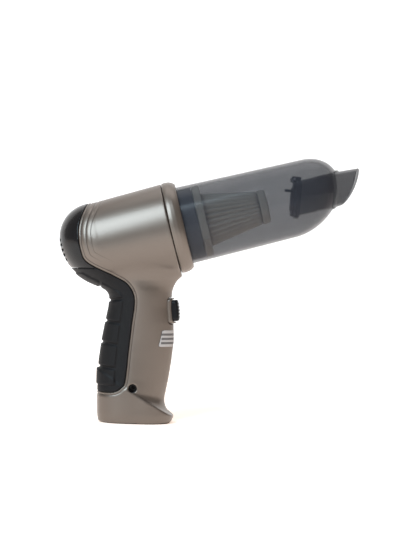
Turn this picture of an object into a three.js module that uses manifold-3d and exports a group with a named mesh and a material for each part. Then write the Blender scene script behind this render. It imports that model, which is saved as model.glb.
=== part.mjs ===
// Cordless pistol-grip handheld vacuum, modelled as the pieces that it comes apart into.
// Millimetres, +Z up. The origin is the centre of the foot, and +X is forward, towards the nozzle.
// The barrel leans back by BARREL_TILT. Its pieces are drawn along their own axis, and placed by barrelFrame.
import * as THREE from "three";
import { mergeVertices } from "three/addons/utils/BufferGeometryUtils.js";
import Module from "manifold-3d";

const wasm = await Module();
wasm.setup();

// ---- driving dimensions ----
const BARREL_TILT = 15; // degrees that the barrel axis rises towards the nozzle
const BARREL_HEIGHT = 148.4; // of the barrel axis over the foot's centre
const WALL = 2.2; // housing wall
const SKIN = 2.6; // thickness of the rear cap and of the rubber backstrap
const GAP = 0.3; // between pieces that meet
const PARTING_Z = 121.5; // rear cap above, backstrap below

// Barrel: a slightly conical tube that ends in a dome, along the barrel axis from its rear to BODY_FRONT.
const BODY_FRONT = 25.5;
const BODY_FRONT_R = 36.4;
const DOME_START = -30;
const DOME_R = 34.3;
const DOME_LENGTH = 33.6;
const DOME_LIFT = 5.9; // how far the dome's end stands above the barrel axis
const VENT_R = 14; // radius of the exhaust slots' field on the rear cap
const VENT_SPINE = 2.2; // half the width of the solid strip down its middle

// Lock collar and the neck that carries it.
const COLLAR_R = 36.8;
const COLLAR_BORE = 33.2;
const COLLAR_FRONT = 36.7;
const NECK_R = 30.3;
const NECK_BORE = 28.8;
const LUGS = 4;
const LUG_ANGLE = 26;

// Dust cup, with a dome that leans forward at the top.
const CUP_REAR = 29.3;
const CUP_REAR_R = 31.2;
const CUP_DOME_START = 129.5;
const CUP_DOME_R = 29.7;
const CUP_DOME_LENGTH = 34.2;
const CUP_WALL = 2;
const CUP_LEAN = 0.3; // mm forward for each mm above the axis
const CUP_LEAN_FROM = 90;

// Filter: a plug in the spigot, a flange, a pleated cone and an end cap.
const SPIGOT_R = 28.4;
const SPIGOT_WALL = 2;
const SPIGOT_FRONT = 48;
const FLANGE_FRONT = 54.4;
const MEDIA_FRONT = 97.8;
const FILTER_FRONT = 104.8;
const PLEATS = 28;

// Nozzle duct: an upright rounded tube through the cup's dome.
const DUCT_WALL = 1.8;
const DUCT_END = 127; // where its inner end crosses the axis
const DUCT_END_LEAN = 18.9; // degrees, top forward
const MOUTH = 173; // where the mouth crosses the axis
const MOUTH_LEAN = 35.6;
const MOUTH_ROUND = 47.5; // radius of the curved mouth, as seen from the side
const MOUTH_BULGE = 2.6;

// Grip: height, back edge, front edge and half width of its level sections.
const GRIP_SECTIONS = [
  [1, -29.2, 22, 20.2],
  [9, -30, 22.4, 20.4],
  [20, -30.4, 23.4, 20.2],
  [35, -29.8, 26.1, 19.2],
  [50, -28.9, 28.2, 18.8],
  [65, -27.2, 29.6, 18.8],
  [80, -24.6, 29.1, 19.2],
  [92, -22.4, 27.3, 19.8],
  [100, -22, 27, 20.2],
  [105, -24.5, 27.2, 20.6],
  [109, -31, 28.4, 21],
  [113, -36, 30.4, 21.4],
  [118, -38, 35, 21.8],
  [124, -36, 34, 22],
];
const GRIP_BACK_ROUND = 2.5; // superellipse exponents
const GRIP_FRONT_ROUND = 1.7;
const FOOT_SECTIONS = [
  [0.8, -28.4, 29.2, 20],
  [6.5, -29.8, 31.4, 20.6],
  [36, -30.4, 31.4, 20.2],
];
const FOOT_ROUND = 2.6;
const FOOT_TOP = { height: 24, slope: -0.58 }; // of the plane that slopes down to the toe

// Edge between the silver side and the black back, as seen from the side.
const SPLIT_LINE = [
  [-37, 184],
  [-42, 171.6],
  [-46.4, 152],
  [-43.6, 134],
  [-38, 125.3],
  [-18.3, 115.9],
  [-7.1, 109.4],
  [-1.7, 98],
  [-3.5, 77],
  [-5.3, 57],
  [-7.2, 34],
  [-10.2, 28],
  [-17.4, 24.4],
  [-34, 24.8],
];
const SPLIT_STEPS = 20;
// Gaps between the finger pads: a point on the back of the grip, and the way out of the surface in degrees.
const PAD_GAPS = [
  [-29.6, 109.2, 250],
  [-22.1, 96.6, 188],
  [-24.5, 80.3, 172],
  [-27.4, 63.4, 172],
  [-29.2, 44.2, 176],
  [-30, 28.9, 180],
];

// Trigger: its place on the front of the grip, and its lean.
const TRIGGER_AT = [27.9, 89.5];
const TRIGGER_LEAN = 5.9;
const TRIGGER_SIZE = [17, 12]; // height, width
const TRIGGER_OUT = 5.9;
const BEZEL_MARGIN = 1.7; // of the bezel's outline round the trigger
const BEZEL_PROUD = 1.9;

// Screw places, as seen from the side.
const SCREWS = [
  [-14.8, 118.6],
  [20.5, 106],
  [3.2, 98.5],
  [16.5, 7.7],
  [-21, 8.6],
];
const SOCKET_AT = [-1.2, 28];
const FAR = 200;

// ---- materials ----
const finish = (color, roughness, metalness = 0, opacity = 1) =>
  new THREE.MeshStandardMaterial({ color, roughness, metalness, opacity, transparent: opacity < 1 });
const silverPaint = finish(0x8f8b85, 0.35, 0.7);
const blackGloss = finish(0x141416, 0.2);
const blackRubber = finish(0x1d1d1f, 0.7);
const blackPlastic = finish(0x1a1a1c, 0.45);
const greyPlastic = finish(0x4a4e55, 0.5);
const smokeClear = finish(0x5a5c66, 0.08, 0, 0.4);
const smokeDark = finish(0x33353d, 0.1, 0, 0.6);
const whitePlastic = finish(0xd9d4c6, 0.5);
const filterPaper = finish(0xe4dfd0, 0.9);
const steel = finish(0xb4b6b8, 0.3, 1);
const copper = finish(0xb06a3a, 0.35, 1);
const cellWrap = finish(0x3f7fb0, 0.4);
const boardGreen = finish(0x1f6b3c, 0.5);
const foamGrey = finish(0x3a3a3c, 0.95);
const labelPaper = finish(0xdcd8d2, 0.6);

// ---- frames ----
const rad = THREE.MathUtils.degToRad;
const along = (degrees) => [Math.cos(rad(degrees)), Math.sin(rad(degrees))];
// A frame at x, z whose own X axis rises by a number of degrees.
const frameAt = (x, z, rise) =>
  new THREE.Matrix4().makeTranslation(x, 0, z).multiply(new THREE.Matrix4().makeRotationY(-rad(rise)));
const barrelFrame = frameAt(0, BARREL_HEIGHT, BARREL_TILT);
const triggerFrame = frameAt(...TRIGGER_AT, TRIGGER_LEAN);
const { x: endX, z: endZ } = new THREE.Vector3(DUCT_END, 0, 0).applyMatrix4(barrelFrame);
// Own X points out of the duct's inner end, towards the rear and up.
const flapFrame = frameAt(endX, endZ, 180 + BARREL_TILT - DUCT_END_LEAN);

// ---- solids ----
// A three.js geometry as a manifold-3d solid, turned so that its faces point out.
function solid(geometry, frame) {
  const bare = new THREE.BufferGeometry().setAttribute("position", geometry.getAttribute("position"));
  bare.setIndex(geometry.index);
  if (frame) bare.applyMatrix4(frame);
  const merged = mergeVertices(bare, 1e-4);
  const corners = merged.index.array;
  const kept = [];
  for (let i = 0; i < corners.length; i += 3) {
    const [a, b, c] = corners.subarray(i, i + 3);
    if (a !== b && b !== c && a !== c) kept.push([a, b, c]);
  }
  const made = (faces) =>
    new wasm.Manifold(
      new wasm.Mesh({
        numProp: 3,
        vertProperties: merged.attributes.position.array,
        triVerts: Uint32Array.from(faces.flat()),
      }),
    );
  const first = made(kept);
  return first.volume() > 0 ? first : made(kept.map(([a, b, c]) => [a, c, b]));
}

const join = (first, ...others) => others.reduce((sum, other) => sum.add(other), first);
const cut = (first, ...others) => others.reduce((rest, other) => rest.subtract(other), first);
const keep = (first, ...others) => others.reduce((rest, other) => rest.intersect(other), first);
const placed = (part, frame) => part.transform(frame.elements);

// A profile of [along, radius] points turned about the X axis.
function turned(profile, segments = 36, reshape) {
  const geometry = new THREE.LatheGeometry(profile.map(([x, r]) => new THREE.Vector2(r, x)), segments);
  geometry.rotateZ(-Math.PI / 2);
  if (reshape) reshape(geometry.getAttribute("position"));
  return geometry;
}
const ring = (from, to, inner, outer, segments = 32) =>
  solid(
    turned(
      [
        [from, inner],
        [from, outer],
        [to, outer],
        [to, inner],
        [from, inner],
      ],
      segments,
    ),
  );
const disc = (from, to, radius, segments = 32) =>
  solid(
    turned(
      [
        [from, 0],
        [from, radius],
        [to, radius],
        [to, 0],
      ],
      segments,
    ),
  );
// A block between two corners.
function block([x0, y0, z0], [x1, y1, z1]) {
  const geometry = new THREE.BoxGeometry(x1 - x0, y1 - y0, z1 - z0);
  geometry.translate((x0 + x1) / 2, (y0 + y1) / 2, (z0 + z1) / 2);
  return solid(geometry);
}
// An outline in the XZ plane, extruded across Y.
function slab(shape, yLow, yHigh) {
  const geometry = new THREE.ExtrudeGeometry(shape, { depth: yHigh - yLow, bevelEnabled: false });
  geometry.rotateX(Math.PI / 2);
  geometry.translate(0, yHigh, 0);
  return solid(geometry);
}
// An outline in the YZ plane, extruded along X.
function prism(shape, xLow, xHigh) {
  const options = { depth: xHigh - xLow, bevelEnabled: false, curveSegments: 4 };
  const geometry = new THREE.ExtrudeGeometry(shape, options);
  const toX = new THREE.Matrix4().makeBasis(
    new THREE.Vector3(0, 1, 0),
    new THREE.Vector3(0, 0, 1),
    new THREE.Vector3(1, 0, 0),
  );
  geometry.applyMatrix4(toX);
  geometry.translate(xLow, 0, 0);
  return solid(geometry);
}
// A round bar across Y.
function crossBar(x, z, radius, yLow, yHigh, segments = 12) {
  const geometry = new THREE.CylinderGeometry(radius, radius, yHigh - yLow, segments);
  geometry.translate(x, (yLow + yHigh) / 2, z);
  return solid(geometry);
}
function roundedRect(halfWidth, halfHeight, corner) {
  const [w, h] = [halfWidth - corner, halfHeight - corner];
  const shape = new THREE.Shape();
  [[w, h], [-w, h], [-w, -h], [w, -h]].forEach(([y, z], quarter) =>
    shape.absarc(y, z, corner, (quarter * Math.PI) / 2, ((quarter + 1) * Math.PI) / 2),
  );
  return shape;
}
// Part of a ring, between two radii and around an angle, extruded along X.
function arcBlock(xLow, xHigh, inner, outer, middle, width) {
  const [from, to] = [rad(middle - width / 2), rad(middle + width / 2)];
  const shape = new THREE.Shape().absarc(0, 0, outer, from, to).absarc(0, 0, inner, to, from, true);
  return prism(shape, xLow, xHigh);
}
// A skin over rings of points, all with the same number of points, closed at both ends.
function loft(rings) {
  const count = rings[0].length;
  const points = rings.flat();
  const faces = [];
  for (let i = 0; i + 1 < rings.length; i++)
    for (let j = 0; j < count; j++) {
      const [a, b] = [i * count + j, i * count + ((j + 1) % count)];
      faces.push(a, b, b + count, a, b + count, a + count);
    }
  const last = (rings.length - 1) * count;
  for (let j = 1; j + 1 < count; j++) {
    faces.push(0, j + 1, j);
    faces.push(last, last + j, last + j + 1);
  }
  return new THREE.BufferGeometry().setFromPoints(points).setIndex(faces);
}
const power = (value, exponent) => Math.sign(value) * Math.abs(value) ** exponent;
// Level sections of an oval whose back and front have their own roundness, all inset by the same amount.
function ovalLoft(sections, backRound, frontRound, inset, points = 24) {
  return solid(
    loft(
      sections.map(([z, back, front, half]) =>
        Array.from({ length: points }, (_, j) => {
          const angle = (2 * Math.PI * j) / points;
          const round = Math.cos(angle) > 0 ? frontRound : backRound;
          const x = (back + front) / 2 + ((front - back) / 2 - inset) * power(Math.cos(angle), 2 / round);
          return new THREE.Vector3(x, (half - inset) * power(Math.sin(angle), 2 / round), z);
        }),
      ),
    ),
  );
}

// ---- outer body ----
function barrelSolid(inset) {
  const profile = [];
  for (let i = 0; i <= 6; i++) {
    const angle = (i * Math.PI) / 12;
    const back = DOME_START - (DOME_LENGTH - inset) * Math.cos(angle);
    profile.push([back, (DOME_R - inset) * Math.sin(angle)]);
  }
  profile.push([BODY_FRONT + 4, BODY_FRONT_R - inset], [BODY_FRONT + 4, 0]);
  profile[0][1] = 0;
  const lift = (position) => {
    for (let i = 0; i < position.count; i++) {
      const past = Math.max(0, DOME_START - position.getX(i));
      position.setZ(i, position.getZ(i) + (DOME_LIFT * past) / DOME_LENGTH);
    }
  };
  return solid(turned(profile, 28, lift), barrelFrame);
}
function footSolid(inset) {
  const prismPart = ovalLoft(FOOT_SECTIONS, FOOT_ROUND, FOOT_ROUND, inset);
  const top = (x) => FOOT_TOP.height + FOOT_TOP.slope * x - inset;
  const above = new THREE.Shape([
    new THREE.Vector2(-60, top(-60)),
    new THREE.Vector2(60, top(60)),
    new THREE.Vector2(60, FAR),
    new THREE.Vector2(-60, FAR),
  ]);
  return cut(prismPart, slab(above, -FAR, FAR));
}
const behindFront = placed(block([-FAR, -FAR, -FAR], [BODY_FRONT, FAR, FAR]), barrelFrame);
const bodies = new Map();
function bodySolid(inset) {
  if (!bodies.has(inset)) {
    const grip = ovalLoft(GRIP_SECTIONS, GRIP_BACK_ROUND, GRIP_FRONT_ROUND, inset);
    bodies.set(inset, join(barrelSolid(inset), grip, footSolid(inset)));
  }
  return bodies.get(inset);
}

// The region behind the split line, moved forward by an offset across the line.
function backRegion(offset) {
  const curve = new THREE.SplineCurve(SPLIT_LINE.map(([x, z]) => new THREE.Vector2(x, z)));
  const edge = curve.getSpacedPoints(SPLIT_STEPS).map((point, i) => {
    const way = curve.getTangentAt(i / SPLIT_STEPS);
    return new THREE.Vector2(point.x - way.y * offset, point.y + way.x * offset);
  });
  const behind = [
    new THREE.Vector2(-FAR, edge.at(-1).y),
    new THREE.Vector2(-FAR, FAR),
    new THREE.Vector2(edge[0].x, FAR),
  ];
  return slab(new THREE.Shape([...edge, ...behind]), -FAR, FAR);
}
const levelBand = (low, high) => block([-FAR, -FAR, low], [FAR, FAR, high]);
const ventTunnel = placed(disc(-80, -42, 20, 32).translate(0, 0, 3), barrelFrame);

// ---- housing halves ----
function triggerOutline(margin) {
  const [height, width] = TRIGGER_SIZE;
  return roundedRect(width / 2 + margin, height / 2 + margin, 3);
}
function housing() {
  const shell = keep(join(cut(bodySolid(0), backRegion(GAP / 2)), bodySolid(SKIN + GAP)), behindFront);
  const cavity = join(bodySolid(SKIN + GAP + WALL), cut(bodySolid(WALL), backRegion(WALL)));
  const neck = placed(
    solid(
      turned([
        [BODY_FRONT - 3, NECK_BORE],
        [BODY_FRONT - 3, BODY_FRONT_R - 1],
        [BODY_FRONT, BODY_FRONT_R - 1],
        [BODY_FRONT, NECK_R],
        [28, NECK_R],
        [28, 32.8],
        [28.9, 32.8],
        [28.9, NECK_BORE],
        [BODY_FRONT - 3, NECK_BORE],
      ]),
    ),
    barrelFrame,
  );
  const bore = placed(disc(0, 60, NECK_BORE, 40), barrelFrame);
  const bosses = SCREWS.map(([x, z]) => crossBar(x, z, 3.5, -34, 34));
  const bossRegion = keep(join(...bosses), bodySolid(1));
  const footOpening = ovalLoft(
    FOOT_SECTIONS.slice(0, 2).map(([z, ...rest]) => [z - 2, ...rest]),
    FOOT_ROUND,
    FOOT_ROUND,
    WALL,
  );
  const triggerHole = placed(prism(triggerOutline(BEZEL_MARGIN + GAP), -9, 6), triggerFrame);
  const socketHole = crossBar(...SOCKET_AT, 3.3, -40, -5);
  const hollow = cut(join(cut(shell, cavity), neck), bore, footOpening);
  return cut(join(hollow, bossRegion), ventTunnel, triggerHole, socketHole);
}
const SCREW_SEAT = 7; // y of the face under a screw head
const screwHoles = join(
  ...SCREWS.map(([x, z]) => crossBar(x, z, 1.6, 0, 20)),
  ...SCREWS.map(([x, z]) => crossBar(x, z, 3.1, SCREW_SEAT, 40)),
);
const pilotHoles = join(...SCREWS.map(([x, z]) => crossBar(x, z, 1.6, -7.6, 1)));
const wholeHousing = housing();
const rightHousing = cut(keep(wholeHousing, block([-FAR, -FAR, -FAR], [FAR, -GAP / 2, FAR])), pilotHoles);
const leftHousing = cut(keep(wholeHousing, block([-FAR, GAP / 2, -FAR], [FAR, FAR, FAR])), screwHoles);

function screw([x, z]) {
  const head = crossBar(x, z, 2.6, SCREW_SEAT + GAP, SCREW_SEAT + 2.1, 14);
  const shank = crossBar(x, z, 1.25, -6.5, SCREW_SEAT + 1, 10);
  const slots = join(
    block([x - 1.7, SCREW_SEAT + 1.2, z - 0.3], [x + 1.7, 20, z + 0.3]),
    block([x - 0.3, SCREW_SEAT + 1.2, z - 1.7], [x + 0.3, 20, z + 1.7]),
  );
  return cut(join(head, shank), slots);
}

// ---- black back ----
const blackSkin = keep(cut(bodySolid(0), bodySolid(SKIN)), backRegion(-GAP / 2));
// Exhaust slots lie within a circle on the dome, on both sides of a spine that keeps its profile whole.
function rearCap() {
  const slots = [];
  for (let level = -9; level <= 15; level += 4) {
    const half = Math.sqrt(VENT_R ** 2 - (level - 3) ** 2);
    slots.push(placed(block([-80, VENT_SPINE, level - 1], [-45, half, level + 1]), barrelFrame));
    slots.push(placed(block([-80, -half, level - 1], [-45, -VENT_SPINE, level + 1]), barrelFrame));
  }
  return cut(keep(blackSkin, levelBand(PARTING_Z + GAP / 2, FAR)), ...slots);
}
function backstrap() {
  const gaps = PAD_GAPS.map(([x, z, out]) => {
    const wedge = new THREE.Shape([[-1.4, 0], [3, 1.6], [3, -1.6]].map((p) => new THREE.Vector2(...p)));
    return placed(slab(wedge, -30, 30), frameAt(x, z, out));
  });
  return cut(keep(blackSkin, levelBand(-FAR, PARTING_Z - GAP / 2)), ...gaps);
}

// ---- foot ----
function footPlate() {
  const rim = ovalLoft([[0, -27.4, 28.2, 19], [0.6, -27.4, 28.2, 19]], FOOT_ROUND, FOOT_ROUND, 0);
  const inside = [-28.4, 29.2, 20];
  const plug = ovalLoft([[0.4, ...inside], [2.6, ...inside]], FOOT_ROUND, FOOT_ROUND, WALL + GAP);
  return join(rim, plug);
}

// ---- front of the barrel ----
function lockCollar() {
  const body = solid(
    turned(
      [
        [25.9, 30.6],
        [25.9, 36.4],
        [29, COLLAR_R],
        [32, 36.5],
        [34.4, 35.5],
        [36.1, 34.2],
        [COLLAR_FRONT, COLLAR_BORE + 0.3],
        [COLLAR_FRONT, COLLAR_BORE],
        [27.6, COLLAR_BORE],
        [27.6, 30.6],
        [25.9, 30.6],
      ],
      36,
    ),
  );
  const lugs = Array.from({ length: LUGS }, (_, i) =>
    arcBlock(32.2, 34.4, 31.75, COLLAR_BORE + 0.5, 45 + (i * 360) / LUGS, LUG_ANGLE),
  );
  return join(body, ...lugs);
}
// The cup's skin, inset by a wall, from its open rear to its leaning dome.
function cupSolid(inset) {
  const profile = [
    [CUP_REAR, 0],
    [CUP_REAR, CUP_REAR_R - inset],
  ];
  for (let i = 0; i <= 7; i++) {
    const angle = (i * Math.PI) / 14;
    profile.push([
      CUP_DOME_START + (CUP_DOME_LENGTH - inset) * Math.sin(angle),
      (CUP_DOME_R - inset) * Math.cos(angle),
    ]);
  }
  profile.at(-1)[1] = 0;
  const lean = (position) => {
    for (let i = 0; i < position.count; i++) {
      const past = (position.getX(i) - CUP_LEAN_FROM) / (CUP_DOME_START - CUP_LEAN_FROM);
      const share = Math.max(0, Math.min(1, past));
      position.setX(i, position.getX(i) + CUP_LEAN * share * position.getZ(i));
    }
  };
  return solid(turned(profile, 36, lean));
}
function dustCup() {
  const lugs = Array.from({ length: LUGS }, (_, i) =>
    arcBlock(CUP_REAR, CUP_REAR + 2.4, CUP_REAR_R - 1, 32.8, (i * 360) / LUGS, LUG_ANGLE),
  );
  const inside = join(cupSolid(CUP_WALL), disc(CUP_REAR - 5, CUP_REAR + 2, CUP_REAR_R - CUP_WALL, 36));
  return cut(join(cupSolid(0), ...lugs), inside, ductSolid(-GAP));
}

// ---- nozzle duct and its flap ----
// A rounded tube, larger where it leaves the dome and smaller at the mouth, inset all round.
function ductSolid(inset) {
  const sections = [
    [114, 0, 13, 11.6],
    [158, 0.2, 13.6, 12],
    [186, -0.5, 12.5, 11.4],
  ];
  const rings = sections.map(([x, middle, halfHeight, halfWidth]) =>
    roundedRect(halfWidth - inset, halfHeight - inset, 6 - inset)
      .extractPoints(5)
      .shape.slice(0, -1)
      .map((p) => new THREE.Vector3(x, p.x, p.y + middle)),
  );
  return solid(loft(rings));
}
const inBarrel = (frame) => barrelFrame.clone().invert().multiply(frame);
const flapInBarrel = inBarrel(flapFrame);
function nozzleDuct() {
  const kept = crossBar(MOUTH_BULGE - MOUTH_ROUND, 0, MOUTH_ROUND, -FAR, FAR, 120);
  const mouth = placed(cut(block([-4, -30, -20], [60, 30, 20]), kept), frameAt(MOUTH, 0, -MOUTH_LEAN));
  const behindEnd = placed(block([-GAP, -FAR, -FAR], [FAR, FAR, FAR]), flapInBarrel);
  return cut(ductSolid(0), ductSolid(DUCT_WALL), mouth, behindEnd);
}
const HINGE_Z = -15.6; // across the flap frame: the pin runs along the top of the duct's end
const PIN_X = 2.2;
function flapSeat() {
  const plate = prism(roundedRect(13.2, 14.8, 6), -4.2, -GAP);
  const ears = [-1, 1].map((side) => {
    const ear = block([-3, side < 0 ? -10 : 7.4, HINGE_Z - 1.8], [4.3, side < 0 ? -7.4 : 10, -14.2]);
    return ear;
  });
  const bore = placed(ductSolid(-GAP), flapInBarrel.clone().invert());
  return cut(join(plate, ...ears), bore, crossBar(PIN_X, HINGE_Z, 1.3, -12, 12, 16));
}
function inletFlap() {
  const plate = prism(roundedRect(12, 13.4, 5.6), 0, 2.2);
  const rib = prism(roundedRect(8.4, 9.4, 4.4), 2, 3.2);
  const knuckle = crossBar(PIN_X, HINGE_Z, 2.1, -6.8, 6.8, 16);
  const web = block([0.2, -6.8, HINGE_Z], [2.2, 6.8, -12.6]);
  const stem = placed(disc(3, 8.6, 1.2, 12), new THREE.Matrix4().makeTranslation(0, 0, -6.4));
  return cut(join(plate, rib, knuckle, web, stem), crossBar(PIN_X, HINGE_Z, 1.3, -12, 12, 16));
}

// ---- filter ----
function filterCage() {
  const plug = ring(40, SPIGOT_FRONT + 1, 24.2, SPIGOT_R - SPIGOT_WALL - GAP);
  const flange = solid(
    turned([
      [SPIGOT_FRONT + 0.4, 24.2],
      [SPIGOT_FRONT + 0.4, 28.1],
      [FLANGE_FRONT, 28.1],
      [FLANGE_FRONT, 9],
      [FLANGE_FRONT - 1.6, 9],
      [FLANGE_FRONT - 1.6, 24.2],
      [SPIGOT_FRONT + 0.4, 24.2],
    ]),
  );
  const cap = disc(MEDIA_FRONT + GAP, FILTER_FRONT, 13.6);
  const rib = block([FLANGE_FRONT - 1.6, -1.2, 5], [MEDIA_FRONT + 1, 1.2, 9.2]);
  const ribs = Array.from({ length: 4 }, (_, i) => rib.rotate([90 * i, 0, 0]));
  return cut(join(plug, flange, cap, ...ribs), disc(0, MEDIA_FRONT + 3, 5.6));
}
function filterPleats() {
  const starRing = (x, outer, inner) =>
    Array.from({ length: 2 * PLEATS }, (_, i) => {
      const angle = (Math.PI * i) / PLEATS;
      const radius = i % 2 ? inner : outer;
      return new THREE.Vector3(x, radius * Math.cos(angle), radius * Math.sin(angle));
    });
  const star = solid(loft([starRing(FLANGE_FRONT + GAP, 21.3, 16), starRing(MEDIA_FRONT, 13.4, 10.4)]));
  return cut(star, disc(40, 120, 9.6, 28));
}

// ---- spigot, seal, fan and motor ----
function spigot() {
  const tube = solid(
    turned([
      [20, SPIGOT_R - SPIGOT_WALL],
      [20, SPIGOT_R],
      [32.2, SPIGOT_R],
      [32.2, 27.3],
      [35.3, 27.3],
      [35.3, SPIGOT_R],
      [SPIGOT_FRONT, SPIGOT_R],
      [SPIGOT_FRONT, SPIGOT_R - SPIGOT_WALL],
      [20, SPIGOT_R - SPIGOT_WALL],
    ]),
  );
  const web = ring(36, 37.8, 15, SPIGOT_R - 1);
  const spoke = block([36, -1, 3], [37.8, 1, 16]);
  const spokes = Array.from({ length: 6 }, (_, i) => spoke.rotate([60 * i, 0, 0]));
  return join(tube, web, disc(36, 37.8, 4, 20), ...spokes);
}
function fanHousing() {
  return solid(
    turned([
      [3, 28.4],
      [3, 31],
      [19.6, 31],
      [19.6, 13],
      [18, 13],
      [18, 28.4],
      [3, 28.4],
    ]),
  );
}
function impeller() {
  const plate = disc(6, 7.4, 26);
  const hub = disc(6, 17, 5, 24);
  const blade = new THREE.Shape();
  blade.absarc(0, 14.6, 15.4, rad(-82), rad(20));
  blade.absarc(0, 14.6, 14.2, rad(20), rad(-82), true);
  const blades = Array.from({ length: 9 }, (_, i) => prism(blade, 7, 15.6).rotate([40 * i, 0, 0]));
  const inside = disc(0, 30, 25.6);
  return cut(join(plate, hub, keep(join(...blades), inside)), disc(-10, 30, 1.9, 16));
}
const motorCan = cut(disc(-42, 2, 18, 32), disc(-50, 0.4, 16.8, 32), disc(-50, 10, 4.6, 20));
const motorBell = cut(join(disc(-45.6, -42.3, 18, 32), disc(-48, -45, 5.6, 20)), disc(-60, -30, 4.6, 20));
const motorBearing = (from) => ring(from, from + 2.4, 1.9, 4.3, 20);
const magnet = (side) => arcBlock(-34, -8, 13.9, 16.5, 90 * side, 130);
function armature() {
  const teeth = Array.from({ length: 5 }, (_, i) => arcBlock(-32, -10, 10, 13.2, 72 * i, 58));
  const arms = Array.from({ length: 5 }, (_, i) =>
    block([-32, 4, -1.8], [-10, 11, 1.8]).rotate([72 * i, 0, 0]),
  );
  return cut(join(disc(-32, -10, 5.5, 20), ...teeth, ...arms), disc(-60, 20, 1.9, 16));
}
const commutator = ring(-39.5, -33.5, 1.9, 4.8, 20);
const shaft = disc(-48.6, 20.4, 1.83, 16);
const shaftNut = cut(disc(17.4, 20, 3.4, 6), disc(0, 30, 1.9, 16));
function motorMount(from, to, outer) {
  const vent = (i) => arcBlock(from - 1, to + 1, 21, outer - 2.4, 45 + 90 * i, 62);
  const vents = Array.from({ length: 4 }, (_, i) => vent(i));
  return cut(ring(from, to, 18.3, outer), ...vents);
}

// ---- grip contents ----
const cellFrame = frameAt(-1.2, 45, -2);
function cell(offset) {
  const geometry = new THREE.CylinderGeometry(9.1, 9.1, 64, 28);
  geometry.rotateX(Math.PI / 2);
  geometry.translate(offset, 0, 0);
  const tip = new THREE.CylinderGeometry(3, 3, 1.4, 16);
  tip.rotateX(Math.PI / 2);
  tip.translate(offset, 0, 32.5);
  return join(solid(geometry), solid(tip));
}
const cellStrip = block([-13, -4, 33.6], [13, 4, 33.9]);
const controlBoard = block([19.3, -4.5, 36], [20.7, 4.5, 70]);
const microSwitch = join(
  block([-19.5, -3.2, -9], [-13.5, 3.2, 9]),
  block([-13.6, -1.4, -1.4], [-11.8, 1.4, 1.4]),
);
function chargeSocket() {
  const [x, z] = SOCKET_AT;
  const body = crossBar(x, z, 4.4, -16.1, -9.6, 24);
  const bore = crossBar(x, z, 3, -30, -11.2, 24);
  return join(cut(body, bore), crossBar(x, z, 0.9, -13, -10, 12));
}

// ---- trigger, in its own frame: X points out of the grip ----
function triggerButton() {
  const [height, width] = TRIGGER_SIZE;
  const rings = [
    [-7, 0],
    [TRIGGER_OUT - 1.8, 0],
    [TRIGGER_OUT - 0.5, 0.7],
    [TRIGGER_OUT, 1.9],
  ].map(([x, inset]) =>
    roundedRect(width / 2 - inset, height / 2 - inset, 3)
      .extractPoints(5)
      .shape.slice(0, -1)
      .map((p) => new THREE.Vector3(x, p.x, p.y)),
  );
  const flange = prism(triggerOutline(1.4), -8.4, -6.8);
  return join(solid(loft(rings)), flange);
}
// A rim that follows the grip's surface, in the grip's own frame.
function triggerBezel() {
  const outline = (margin) => placed(prism(triggerOutline(margin), -6.4, 6), triggerFrame);
  return keep(cut(outline(BEZEL_MARGIN), outline(0.4)), cut(bodySolid(-BEZEL_PROUD), bodySolid(WALL)));
}
const ratingLabel = keep(
  cut(bodySolid(-0.6), bodySolid(-GAP)),
  block([18.8, -30, 61], [30.6, -2.5, 74]),
);

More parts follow.
